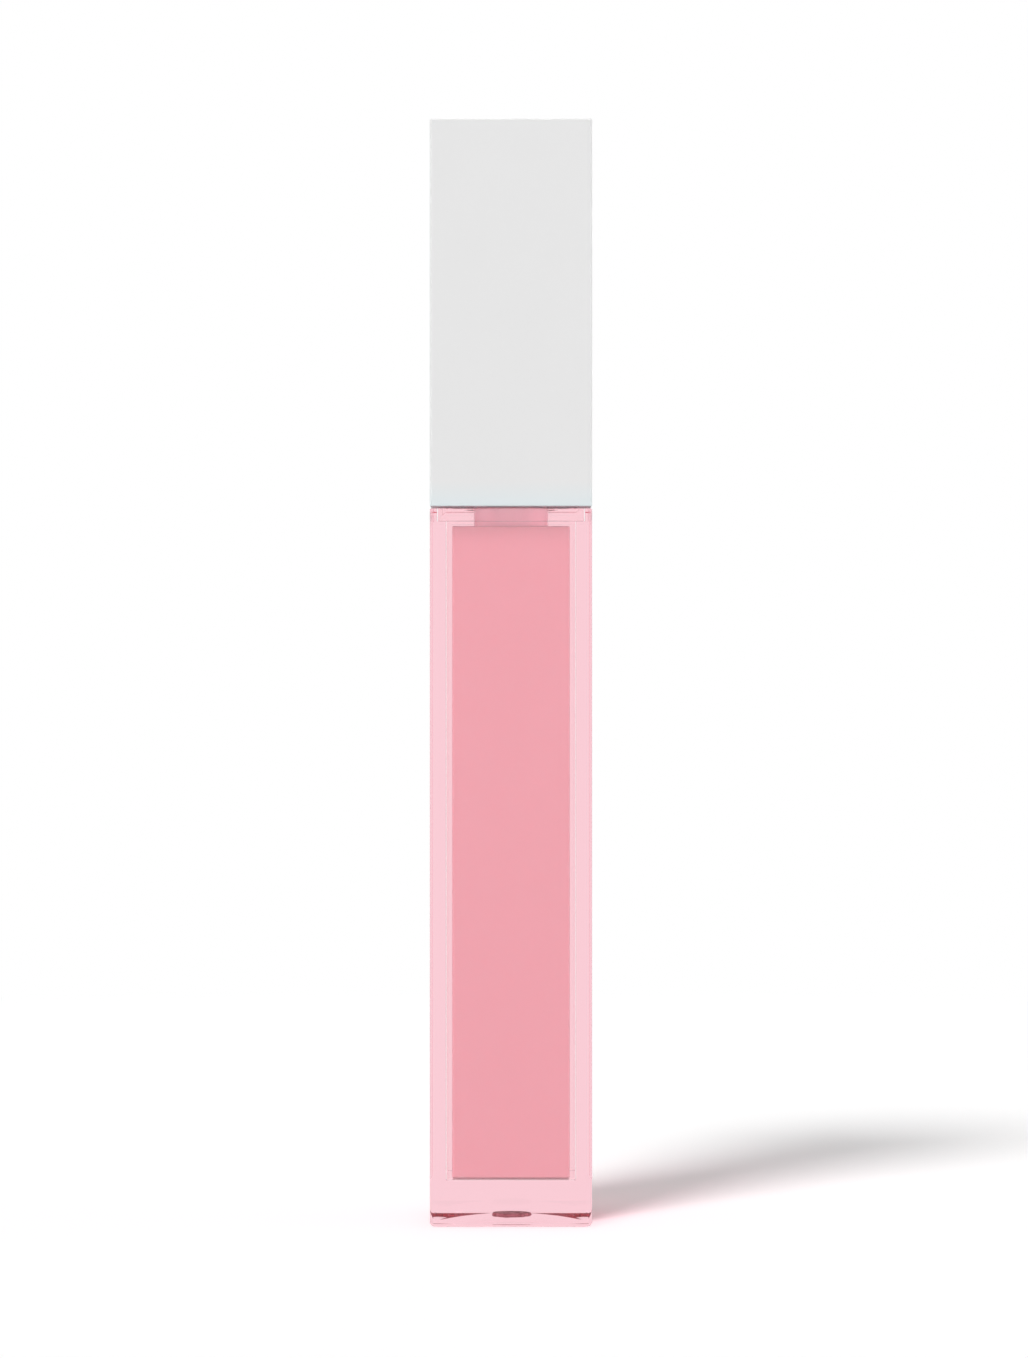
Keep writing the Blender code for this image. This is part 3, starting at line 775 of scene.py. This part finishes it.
def moulded_plastic(name, tone, other_tone, ior, roughness, milky=0.0, grain_depth=0.004 * MM):
    """Satin moulded plastic with a fine grain; milky lets some light sink in."""
    material, tree, place = blank_material(name)
    pattern = {"Vector": place, "Scale": 1 / (14 * MM), "Detail": 2.0}
    cooling = add_node(tree, "ShaderNodeTexNoise", pattern).outputs["Fac"]
    tones = {0: cooling, 6: linear(tone), 7: linear(other_tone)}
    colour = add_node(tree, "ShaderNodeMix", tones, data_type="RGBA").outputs[2]
    satin = {"Value": cooling, "To Min": roughness - 0.04, "To Max": roughness + 0.04}
    sheen = add_node(tree, "ShaderNodeMapRange", satin)
    grain = add_node(tree, "ShaderNodeTexNoise", {"Vector": place, "Scale": 1 / GRAIN_SIZE, "Detail": 2.0})
    bump = add_node(tree, "ShaderNodeBump", {"Height": grain, "Strength": 0.6, "Distance": grain_depth})
    surface = {
        "Base Color": colour,
        "Roughness": sheen,
        "IOR": ior,
        "Subsurface Weight": milky,
        "Subsurface Radius": (1.0, 0.95, 0.9),
        "Subsurface Scale": 0.8 * MM,
        "Normal": bump,
    }
    plastic = add_node(tree, "ShaderNodeBsdfPrincipled", surface)
    add_node(tree, "ShaderNodeOutputMaterial", {"Surface": plastic})
    return material


print("grain drawn at", round(GRAIN_SIZE / MM, 2), "mm")

# %% [markdown]
# ## The wiper
#
# The wiper is a soft polyethylene sleeve pressed into the neck. Its flange rests near the neck's rim
# and its lower end narrows to a lip that scrapes the wand. A skin over round rings is a lathe, and
# because the sleeve is open at both ends the skin closes on itself in a loop.

# %% Wiper
def wiper_outline():
    """Radius and height pairs: the flange, down the sleeve, over a small snap bead, the cone, the lip."""
    flange, tube, inside, lip = 4.3 * MM, 3.6 * MM, 3.15 * MM, 2.5 * MM
    top, flange_bottom, cone_top, bottom = 79.7 * MM, 79.1 * MM, 74.2 * MM, 71.6 * MM
    bead, bead_out, bead_reach, soft = 76.9 * MM, 0.06 * MM, 0.3 * MM, 0.12 * MM
    outline = [(inside + soft, top), (flange - soft, top), (flange, top - soft)]
    outline.append((flange, flange_bottom + soft))
    outline += [(flange - soft, flange_bottom), (tube + soft, flange_bottom), (tube, flange_bottom - soft)]
    outline += [(tube, bead + bead_reach), (tube + bead_out, bead), (tube, bead - bead_reach)]
    outline += [(tube, cone_top), (lip + 0.35 * MM, bottom + 0.08 * MM), (lip + 0.25 * MM, bottom)]
    outline += [(lip + 0.08 * MM, bottom), (lip, bottom + 0.1 * MM), (lip, bottom + 0.3 * MM)]
    return outline + [(inside, cone_top), (inside, top - soft)]


wiper_plastic = moulded_plastic("milky_polyethylene", "#EFEEEA", "#E9E8E4", 1.51, 0.42, milky=0.4)
sleeve = lathed("neck_wiper", wiper_outline(), loop=True)
finished("neck_wiper", sleeve, wiper_plastic, "bottle", "wiper")

# %% [markdown]
# ## The liner ring
#
# A ring of white foam sits under the cap's ceiling and seals against the wiper. It is closed-cell
# polyethylene foam, cut from sheet: quite matt, with cells about 0.2 mm across, which a Voronoi
# pattern makes as shallow dimples.

# %% Liner ring
def liner_foam(name):
    """Matt white foam, dimpled by its cells."""
    material, tree, place = blank_material(name)
    pattern = {"Vector": place, "Scale": 1 / (0.25 * MM)}
    cells = add_node(tree, "ShaderNodeTexVoronoi", pattern).outputs["Distance"]
    whites = {0: cells, 6: linear("#EDEDEB"), 7: linear("#F4F4F2")}
    tone = add_node(tree, "ShaderNodeMix", whites, data_type="RGBA").outputs[2]
    dull = add_node(tree, "ShaderNodeMapRange", {"Value": cells, "To Min": 0.72, "To Max": 0.9})
    dimples = add_node(tree, "ShaderNodeBump", {"Height": cells, "Strength": 0.7, "Distance": 0.05 * MM})
    matt = {"Base Color": tone, "Roughness": dull, "IOR": 1.3, "Normal": dimples}
    foam = add_node(tree, "ShaderNodeBsdfPrincipled", matt)
    add_node(tree, "ShaderNodeOutputMaterial", {"Surface": foam})
    return material


def liner_outline():
    hole, rim, bottom, top, soft = 2.95 * MM, 4.6 * MM, 79.85 * MM, 80.85 * MM, 0.12 * MM
    outline = [(hole + soft, top), (rim - soft, top), (rim, top - soft), (rim, bottom + soft)]
    return outline + [(rim - soft, bottom), (hole + soft, bottom), (hole, bottom + soft), (hole, top - soft)]


foam = liner_foam("white_polyethylene_foam")
liner = lathed("liner_ring", liner_outline(), loop=True)
finished("liner_ring", liner, foam, "seal", "cap_seal")

# %% [markdown]
# ## Ribs and stops, placed round the axis
#
# Inside the cap are two sets of four thin walls: ribs that hold the inner cap square in the outer one,
# and stops that keep it from sliding up. One is modelled, and a small tree copies it round the axis:
# Instance on Points, with each copy turned by its index times a full turn over the count.

# %% Tree that repeats a part round the axis
def ring_tree():
    inputs = [("Count", "NodeSocketInt"), ("First angle", "NodeSocketFloat")]
    inputs.append(("Material", "NodeSocketMaterial"))
    tree, sizes = new_tree("repeat_round_axis", inputs)
    points = add_node(tree, "GeometryNodePoints", {"Count": sizes["Count"]})
    share = add_node(tree, "ShaderNodeMath", {0: 2 * pi, 1: sizes["Count"]}, operation="DIVIDE")
    index = add_node(tree, "GeometryNodeInputIndex")
    angle = {0: index, 1: share, 2: sizes["First angle"]}
    turn = add_node(tree, "ShaderNodeMath", angle, operation="MULTIPLY_ADD")
    about_axis = add_node(tree, "ShaderNodeCombineXYZ", {"Z": turn})
    placing = {"Points": points, "Instance": sizes["Geometry"], "Rotation": about_axis}
    copies = add_node(tree, "GeometryNodeInstanceOnPoints", placing)
    close_tree(tree, copies, sizes["Material"])
    return tree


def thin_wall(name, low, high, edge):
    """An upright wall between two opposite corners, with its long edges bevelled."""
    bm = bmesh.new()
    bmesh.ops.create_cube(bm, size=1)
    low, high = Vector(low), Vector(high)
    bmesh.ops.transform(bm, matrix=Matrix.LocRotScale((low + high) / 2, None, high - low), verts=bm.verts)
    bmesh.ops.bevel(bm, geom=bm.edges[:], offset=edge, segments=2, profile=0.5, affect="EDGES")
    mesh = bpy.data.meshes.new(name)
    bm.to_mesh(mesh)
    bm.free()
    return mesh


repeat_round_axis = ring_tree()

# %% [markdown]
# ## The white cap
#
# The outer cap is a tall square box of ABS, moulded in pearl white with a satin face. Its edges are
# almost sharp. Towards the open bottom edge, where the wall is thinnest, the tone is painted very
# slightly cooler: painted light that stands in for light coming through the thin wall.
#
# Its flat top turns away from the low softboxes and would look grey from above. A lamp straight
# overhead makes up for that. Light linking lets it light the cap alone, or it would wash out the
# shadow on the floor.

# %% White cap
CAP_BOTTOM, CAP_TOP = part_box("outer_cap")[0].z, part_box("outer_cap")[1].z
CAP_CORNER, CAP_EDGE, MOUTH_CHAMFER, CEILING_CHAMFER = 0.3 * MM, 0.15 * MM, 0.1 * MM, 0.3 * MM
CAP_INSIDE, CAP_INSIDE_CORNER, CAP_CEILING = 13.2 * MM, 0.5 * MM, 107.6 * MM
PAINTED_EDGE_LIGHT_HEIGHT = 2.5 * MM
STOP_BOTTOM, STOP_DEPTH, STOP_THICKNESS = 82.5 * MM, 1.6 * MM, 1.0 * MM
INTO_WALL, THIN_WALL_EDGE = 0.3 * MM, 0.12 * MM


def opened(material):
    """A moulded plastic's tree, its shader and its coordinates, to add to what the tree holds."""
    nodes = material.node_tree.nodes
    shader = next(node for node in nodes if node.type == "BSDF_PRINCIPLED")
    place = next(node for node in nodes if node.type == "TEX_COORD").outputs["Object"]
    return material.node_tree, shader.inputs, place


def satin_white(name):
    """White with a fine satin grain, painted a touch cooler along the lower edge as painted light."""
    material = moulded_plastic(name, "#E6E6E6", "#E3E3E3", 1.53, 0.4, grain_depth=0.002 * MM)
    tree, shader, place = opened(material)
    # Painted light: a cooler tone near the open bottom edge stands in for light through the thin wall.
    height = add_node(tree, "ShaderNodeSeparateXYZ", {0: place}).outputs["Z"]
    span = {"From Min": CAP_BOTTOM, "From Max": CAP_BOTTOM + PAINTED_EDGE_LIGHT_HEIGHT, "To Min": 0.8, "To Max": 0.0}
    painted_edge_light = add_node(tree, "ShaderNodeMapRange", {"Value": height, **span})
    tones = {0: painted_edge_light, 6: shader["Base Color"].links[0].from_socket, 7: linear("#DBE6E9")}
    painted_edge_light_tone = add_node(tree, "ShaderNodeMix", tones, data_type="RGBA").outputs[2]
    tree.links.new(painted_edge_light_tone, shader["Base Color"])
    return material


def cap_rings():
    rings = rounded_edge(WIDTH, CAP_CORNER, CAP_TOP, CAP_EDGE, 90, 0)
    rings += rounded_edge(WIDTH, CAP_CORNER, CAP_BOTTOM, CAP_EDGE, 0, -90)
    inside = [(CAP_INSIDE + 2 * MOUTH_CHAMFER, CAP_BOTTOM), (CAP_INSIDE, CAP_BOTTOM + MOUTH_CHAMFER)]
    inside += [(CAP_INSIDE, CAP_CEILING - CEILING_CHAMFER), (CAP_INSIDE - 2 * CEILING_CHAMFER, CAP_CEILING)]
    return rings + [square_ring(width, CAP_INSIDE_CORNER, height) for width, height in inside]


pearl_abs = satin_white("pearl_white_abs")
wall = CAP_INSIDE / 2
one_stop = thin_wall(
    "stop",
    (wall - STOP_DEPTH, -STOP_THICKNESS / 2, STOP_BOTTOM),
    (wall + INTO_WALL, STOP_THICKNESS / 2, CAP_CEILING + INTO_WALL),
    THIN_WALL_EDGE,
)
one_a_wall = {"Count": 4, "First angle": 0.0, "Material": pearl_abs}
stops = grown("cap_stops", one_stop, repeat_round_axis, one_a_wall)
cap_mesh = put_together("white_cap", [skin("cap", cap_rings()), stops])
white_cap = finished("white_cap", cap_mesh, pearl_abs, "cap", "outer_cap")
top_lamp = sun_lamp("top_lamp", power=1.2, spread=10, elevation=90, heading=0)
lit_from_above = bpy.data.collections.new("lit_from_above")
lit_from_above.objects.link(white_cap)
top_lamp.light_linking.receiver_collection = lit_from_above

# %% [markdown]
# ## The threaded inner cap
#
# The inner cap does the work: it is a round polypropylene cup with the screw thread in it and a
# socket on top that grips the wand. A square collar at its mouth and four diagonal ribs centre it in
# the outer cap. It is opaque, so its parts may simply overlap, and only the thread and the ribs come
# from trees.

# %% Inner cap
INNER_BOTTOM, INNER_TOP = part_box("inner_cap")[0].z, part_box("inner_cap")[1].z
INNER_RADIUS, INNER_BORE = 6.35 * MM, 5.55 * MM
INNER_CEILING, CUP_TOP = 81.0 * MM, 82.2 * MM
COLLAR_WIDTH, COLLAR_CORNER, COLLAR_TOP = 12.9 * MM, 0.4 * MM, 72.6 * MM
SOCKET_RADIUS, SOCKET_BORE, SOCKET_CEILING = 3.4 * MM, 2.3 * MM, 89.6 * MM
RIB_REACH, RIB_THICKNESS, RIB_TOP, RIB_LIFT = 8.4 * MM, 1.0 * MM, 82.0 * MM, 0.05 * MM
CAP_RIDGE_CREST, RIDGE_SINK = 4.95 * MM, 0.1 * MM


def inner_cap_rings():
    """Down the socket and the bore, over the square collar, then up the outside."""
    soft, crisp = 0.15 * MM, 0.05 * MM
    inside = [(SOCKET_BORE, SOCKET_CEILING), (SOCKET_BORE, INNER_CEILING), (INNER_BORE - soft, INNER_CEILING)]
    inside += [(INNER_BORE, INNER_CEILING - soft), (INNER_BORE, INNER_BOTTOM + soft)]
    inside += [(INNER_BORE + soft, INNER_BOTTOM)]
    narrow = COLLAR_WIDTH - 2 * crisp
    mouth = [(narrow, INNER_BOTTOM), (COLLAR_WIDTH, INNER_BOTTOM + crisp)]
    mouth += [(COLLAR_WIDTH, COLLAR_TOP - crisp), (narrow, COLLAR_TOP)]
    outside = [(INNER_RADIUS, COLLAR_TOP), (INNER_RADIUS, CUP_TOP - soft), (INNER_RADIUS - soft, CUP_TOP)]
    outside += [(SOCKET_RADIUS + soft, CUP_TOP), (SOCKET_RADIUS, CUP_TOP + soft)]
    outside += [(SOCKET_RADIUS, INNER_TOP - soft), (SOCKET_RADIUS - soft, INNER_TOP)]
    collar = [square_ring(width, COLLAR_CORNER, height) for width, height in mouth]
    down = [round_like(collar[1], radius, height) for radius, height in inside]
    up = [round_like(collar[1], radius, height) for radius, height in outside]
    return down + collar + up


milky_pp = moulded_plastic("milky_polypropylene", "#EDEDEA", "#E7E7E4", 1.49, 0.38, milky=0.3)
one_rib = thin_wall(
    "rib",
    (INNER_BORE + INTO_WALL, -RIB_THICKNESS / 2, INNER_BOTTOM + RIB_LIFT),
    (RIB_REACH, RIB_THICKNESS / 2, RIB_TOP),
    THIN_WALL_EDGE,
)
diagonal = {"Count": 4, "First angle": pi / 4, "Material": milky_pp}
ribs = grown("inner_cap_ribs", one_rib, repeat_round_axis, diagonal)
ridge_start = THREAD_START + THREAD_PITCH / 2
cap_ridge = thread_ridge("cap_thread", INNER_BORE + RIDGE_SINK, CAP_RIDGE_CREST, ridge_start, milky_pp)
inner_mesh = put_together("threaded_inner_cap", [skin("inner_cap_body", inner_cap_rings()), ribs, cap_ridge])
finished("threaded_inner_cap", inner_mesh, milky_pp, "cap", "inner_cap")

# %% [markdown]
# ## The wand
#
# The wand's stem is a thin polypropylene rod with a collar near its top and a bore at its lower end
# that takes the applicator. The wiper leaves a thin, uneven film of gloss on the part that has been in
# the bottle. The film is a second, wetter tone that a noise mixes in by height, with a ragged upper edge.

# %% Wand stem
STEM_BOTTOM, STEM_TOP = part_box("wand_stem")[0].z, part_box("wand_stem")[1].z
STEM_RADIUS, STEM_BORE, STEM_BORE_TOP = 2.2 * MM, 1.25 * MM, 28.0 * MM
FILM_TOP, FILM_WAVE = 70.4 * MM, 6 * MM


def filmed_stem(name):
    """Milky polypropylene whose lower part is wet with a film of gloss."""
    material = moulded_plastic(name, "#EDEDEA", "#E7E7E4", 1.49, 0.34, milky=0.3, grain_depth=0.002 * MM)
    tree, shader, place = opened(material)
    bare, dry = [shader[name].links[0].from_socket for name in ("Base Color", "Roughness")]
    streaks = add_node(tree, "ShaderNodeMapping", {"Vector": place, "Scale": (1, 1, 0.15)})
    pattern = {"Vector": streaks, "Scale": 1 / (1.2 * MM), "Detail": 3.0}
    runs = add_node(tree, "ShaderNodeTexNoise", pattern).outputs["Fac"]
    height = add_node(tree, "ShaderNodeSeparateXYZ", {0: place}).outputs["Z"]
    uneven = add_node(tree, "ShaderNodeMath", {0: runs, 1: FILM_WAVE, 2: height}, operation="MULTIPLY_ADD")
    edge = {"From Min": FILM_TOP + 2.5 * MM, "From Max": FILM_TOP + 3.5 * MM, "To Min": 1.0, "To Max": 0.0}
    film = add_node(tree, "ShaderNodeMapRange", {"Value": uneven, **edge})
    patchy = {"Value": runs, "From Min": 0.3, "From Max": 0.7, "To Min": 0.35, "To Max": 0.8}
    thick = add_node(tree, "ShaderNodeMapRange", patchy)
    cover = add_node(tree, "ShaderNodeMath", {0: film, 1: thick}, operation="MULTIPLY")
    tones = {0: cover, 6: bare, 7: linear("#EF9BA6")}
    tinted = add_node(tree, "ShaderNodeMix", tones, data_type="RGBA").outputs[2]
    wet = add_node(tree, "ShaderNodeMix", {0: film, 2: dry, 3: 0.12}).outputs[0]
    tree.links.new(tinted, shader["Base Color"])
    tree.links.new(wet, shader["Roughness"])
    return material


def stem_outline():
    """Radius and height pairs: the chamfered top, the collar, down the rod and up into its bore."""
    collar, collar_top, collar_bottom = 2.7 * MM, 80.8 * MM, 80.1 * MM
    lead_in, cone, soft, crisp = 0.4 * MM, 0.3 * MM, 0.15 * MM, 0.05 * MM
    outline = [(STEM_RADIUS - lead_in, STEM_TOP), (STEM_RADIUS, STEM_TOP - lead_in)]
    outline.append((STEM_RADIUS, collar_top))
    outline += [(collar - crisp, collar_top), (collar, collar_top - crisp), (collar, collar_bottom)]
    outline += [(STEM_RADIUS, collar_bottom - cone), (STEM_RADIUS, STEM_BOTTOM + soft)]
    outline += [(STEM_RADIUS - soft, STEM_BOTTOM), (STEM_BORE + crisp, STEM_BOTTOM)]
    return outline + [(STEM_BORE, STEM_BOTTOM + crisp), (STEM_BORE, STEM_BORE_TOP)]


stem_plastic = filmed_stem("gloss_filmed_polypropylene")
finished("wand_rod", lathed("wand_rod", stem_outline()), stem_plastic, "wand", "wand_stem")

# %% [markdown]
# ## The doe-foot tip
#
# A doe-foot is a small round-ended rod cut by one slanted face, and covered in flock: nylon fibres
# under half a millimetre long that stand on glue. Distribute Points on Faces and Instance on Points
# plant thin cones all over a sleeve. Real flock has far more fibres than this. They are drawn a little
# thicker than life, so that the pile reads at this size. The pile is soaked in gloss, so it is pink
# and wet at the tips, and it clumps, which a noise does by leaning and shortening patches of fibres.

# %% Doe-foot sleeve and its flock
TIP_BOTTOM, TIP_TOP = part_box("applicator_flock")[0].z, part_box("applicator_flock")[1].z
PILE, FIBRES, FIBRE_THICKNESS, CLUMP_SIZE, CLUMP_LEAN = 0.32 * MM, 6500, 0.035 * MM, 0.9 * MM, 2.6
SLEEVE_RADIUS = 2.1 * MM - PILE
CORE_ROOM, CORE_BOTTOM = 1.57 * MM, TIP_BOTTOM + 0.53 * MM
SLANT_ANGLE, SLANT_START = radians(14), 17.2 * MM
DOME_STEPS, ROD_STEPS = 12, 24


def doe_foot(name, radius, bottom, top):
    """A rod with a round lower end, cut by the slanted face."""
    centre = bottom + radius
    angles = [pi / 2 * (1 - step / DOME_STEPS) for step in range(1, DOME_STEPS + 1)]
    outline = [(radius * cos(a), centre - radius * sin(a)) for a in angles]
    outline += [(radius, centre + (top - centre) * step / ROD_STEPS) for step in range(1, ROD_STEPS + 1)]
    mesh = lathed(name, outline)
    bm = bmesh.new()
    bm.from_mesh(mesh)
    front = Vector((0, -radius, SLANT_START))
    outward = Vector((0, -cos(SLANT_ANGLE), -sin(SLANT_ANGLE)))
    geometry = bm.verts[:] + bm.edges[:] + bm.faces[:]
    cut = bmesh.ops.bisect_plane(bm, geom=geometry, plane_co=front, plane_no=outward, clear_outer=True)
    rim = [item for item in cut["geom_cut"] if isinstance(item, bmesh.types.BMEdge)]
    bmesh.ops.contextual_create(bm, geom=rim)
    bmesh.ops.recalc_face_normals(bm, faces=bm.faces)
    bm.to_mesh(mesh)
    bm.free()
    return mesh


def flock_tree():
    lengths = ("Count per area", "Length", "Thickness", "Clump size", "Clump lean")
    inputs = [(label, "NodeSocketFloat") for label in lengths]
    inputs += [("Seed", "NodeSocketInt"), ("Material", "NodeSocketMaterial")]
    tree, sizes = new_tree("planted_fibres", inputs)
    sowing = {"Mesh": sizes["Geometry"], "Density": sizes["Count per area"], "Seed": sizes["Seed"]}
    planted = add_node(tree, "GeometryNodeDistributePointsOnFaces", sowing, distribute_method="RANDOM")
    taper = {"Radius Top": 0.0, "Radius Bottom": sizes["Thickness"], "Depth": sizes["Length"]}
    cone = {"Vertices": 4, "Side Segments": 2, **taper}
    fibre = add_node(tree, "GeometryNodeMeshCone", cone, fill_type="NONE")
    place = add_node(tree, "GeometryNodeInputPosition")
    pitch = add_node(tree, "ShaderNodeMath", {0: 1.0, 1: sizes["Clump size"]}, operation="DIVIDE")
    clump = add_node(tree, "ShaderNodeTexNoise", {"Vector": place, "Scale": pitch, "Detail": 1.0})
    drift = {0: clump.outputs["Color"], 1: (0.5, 0.5, 0.62)}
    lean = add_node(tree, "ShaderNodeVectorMath", drift, operation="SUBTRACT")
    stronger = {0: lean, "Scale": sizes["Clump lean"]}
    strong = add_node(tree, "ShaderNodeVectorMath", stronger, operation="SCALE")
    bent = add_node(tree, "ShaderNodeVectorMath", {0: planted.outputs["Normal"], 1: strong}, operation="ADD")
    spread = {"Min": (-0.25, -0.25, -0.25), "Max": (0.25, 0.25, 0.25), "Seed": sizes["Seed"]}
    stray = add_node(tree, "FunctionNodeRandomValue", spread, data_type="FLOAT_VECTOR")
    aim = add_node(tree, "ShaderNodeVectorMath", {0: bent, 1: stray}, operation="ADD")
    stand = add_node(tree, "FunctionNodeAlignRotationToVector", {"Vector": aim}, axis="Z")
    worn = {"Value": clump.outputs["Fac"], "From Min": 0.35, "From Max": 0.65, "To Min": 0.7, "To Max": 1.0}
    short = add_node(tree, "ShaderNodeMapRange", worn)
    placing = {"Points": planted, "Instance": fibre, "Rotation": stand, "Scale": short}
    pile = add_node(tree, "GeometryNodeInstanceOnPoints", placing)
    close_tree(tree, pile, sizes["Material"])
    return tree


def soaked_flock(name):
    """Nylon flock soaked in gloss: pink and wet, with paler fibres showing where it is thin."""
    material, tree, place = blank_material(name)
    soak = add_node(tree, "ShaderNodeTexNoise", {"Vector": place, "Scale": 1 / (1.1 * MM), "Detail": 3.0})
    patch = add_node(tree, "ShaderNodeMapRange", {"Value": soak, "From Min": 0.35, "From Max": 0.65})
    pinks = {0: patch, 6: linear("#F2B4BC"), 7: linear("#EC8F9C")}
    tone = add_node(tree, "ShaderNodeMix", pinks, data_type="RGBA").outputs[2]
    wet = add_node(tree, "ShaderNodeMapRange", {"Value": patch, "To Min": 0.35, "To Max": 0.15})
    nylon = {
        "Base Color": tone,
        "Roughness": wet,
        "IOR": 1.5,
        "Sheen Weight": 0.15,
        "Subsurface Weight": 0.2,
        "Subsurface Radius": (1.0, 0.5, 0.5),
        "Subsurface Scale": 0.3 * MM,
    }
    flock = add_node(tree, "ShaderNodeBsdfPrincipled", nylon)
    add_node(tree, "ShaderNodeOutputMaterial", {"Surface": flock})
    return material


wet_flock = soaked_flock("gloss_soaked_nylon_flock")
outside = doe_foot("sleeve", SLEEVE_RADIUS, TIP_BOTTOM + PILE, TIP_TOP)
area = sum(face.area for face in outside.polygons)
fibre_sizes = {
    "Count per area": FIBRES / area,
    "Length": PILE,
    "Thickness": FIBRE_THICKNESS,
    "Clump size": CLUMP_SIZE,
    "Clump lean": CLUMP_LEAN,
    "Seed": 7,
    "Material": wet_flock,
}
pile = grown("flock_fibres", outside.copy(), flock_tree(), fibre_sizes)
hollow = doe_foot("core_room", CORE_ROOM, CORE_BOTTOM, TIP_TOP + 1 * MM)
sleeve = combined("DIFFERENCE", outside, hollow)
tip_mesh = put_together("flocked_tip", [sleeve, pile])
finished("flocked_tip", tip_mesh, wet_flock, "cap", "applicator_flock")

# %% [markdown]
# ## The applicator's core
#
# The plastic core inside the flock keeps its CAD shape, because no one sees it: it only gets its own
# milky plastic.

# %% Core plastic
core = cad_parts["applicator_core"]
core.data.materials.clear()
core_plastic = moulded_plastic("milky_core_polypropylene", "#ECECE9", "#E5E5E2", 1.49, 0.4, milky=0.3)
core.data.materials.append(core_plastic)
print("core keeps its CAD mesh of", len(core.data.polygons), "faces")
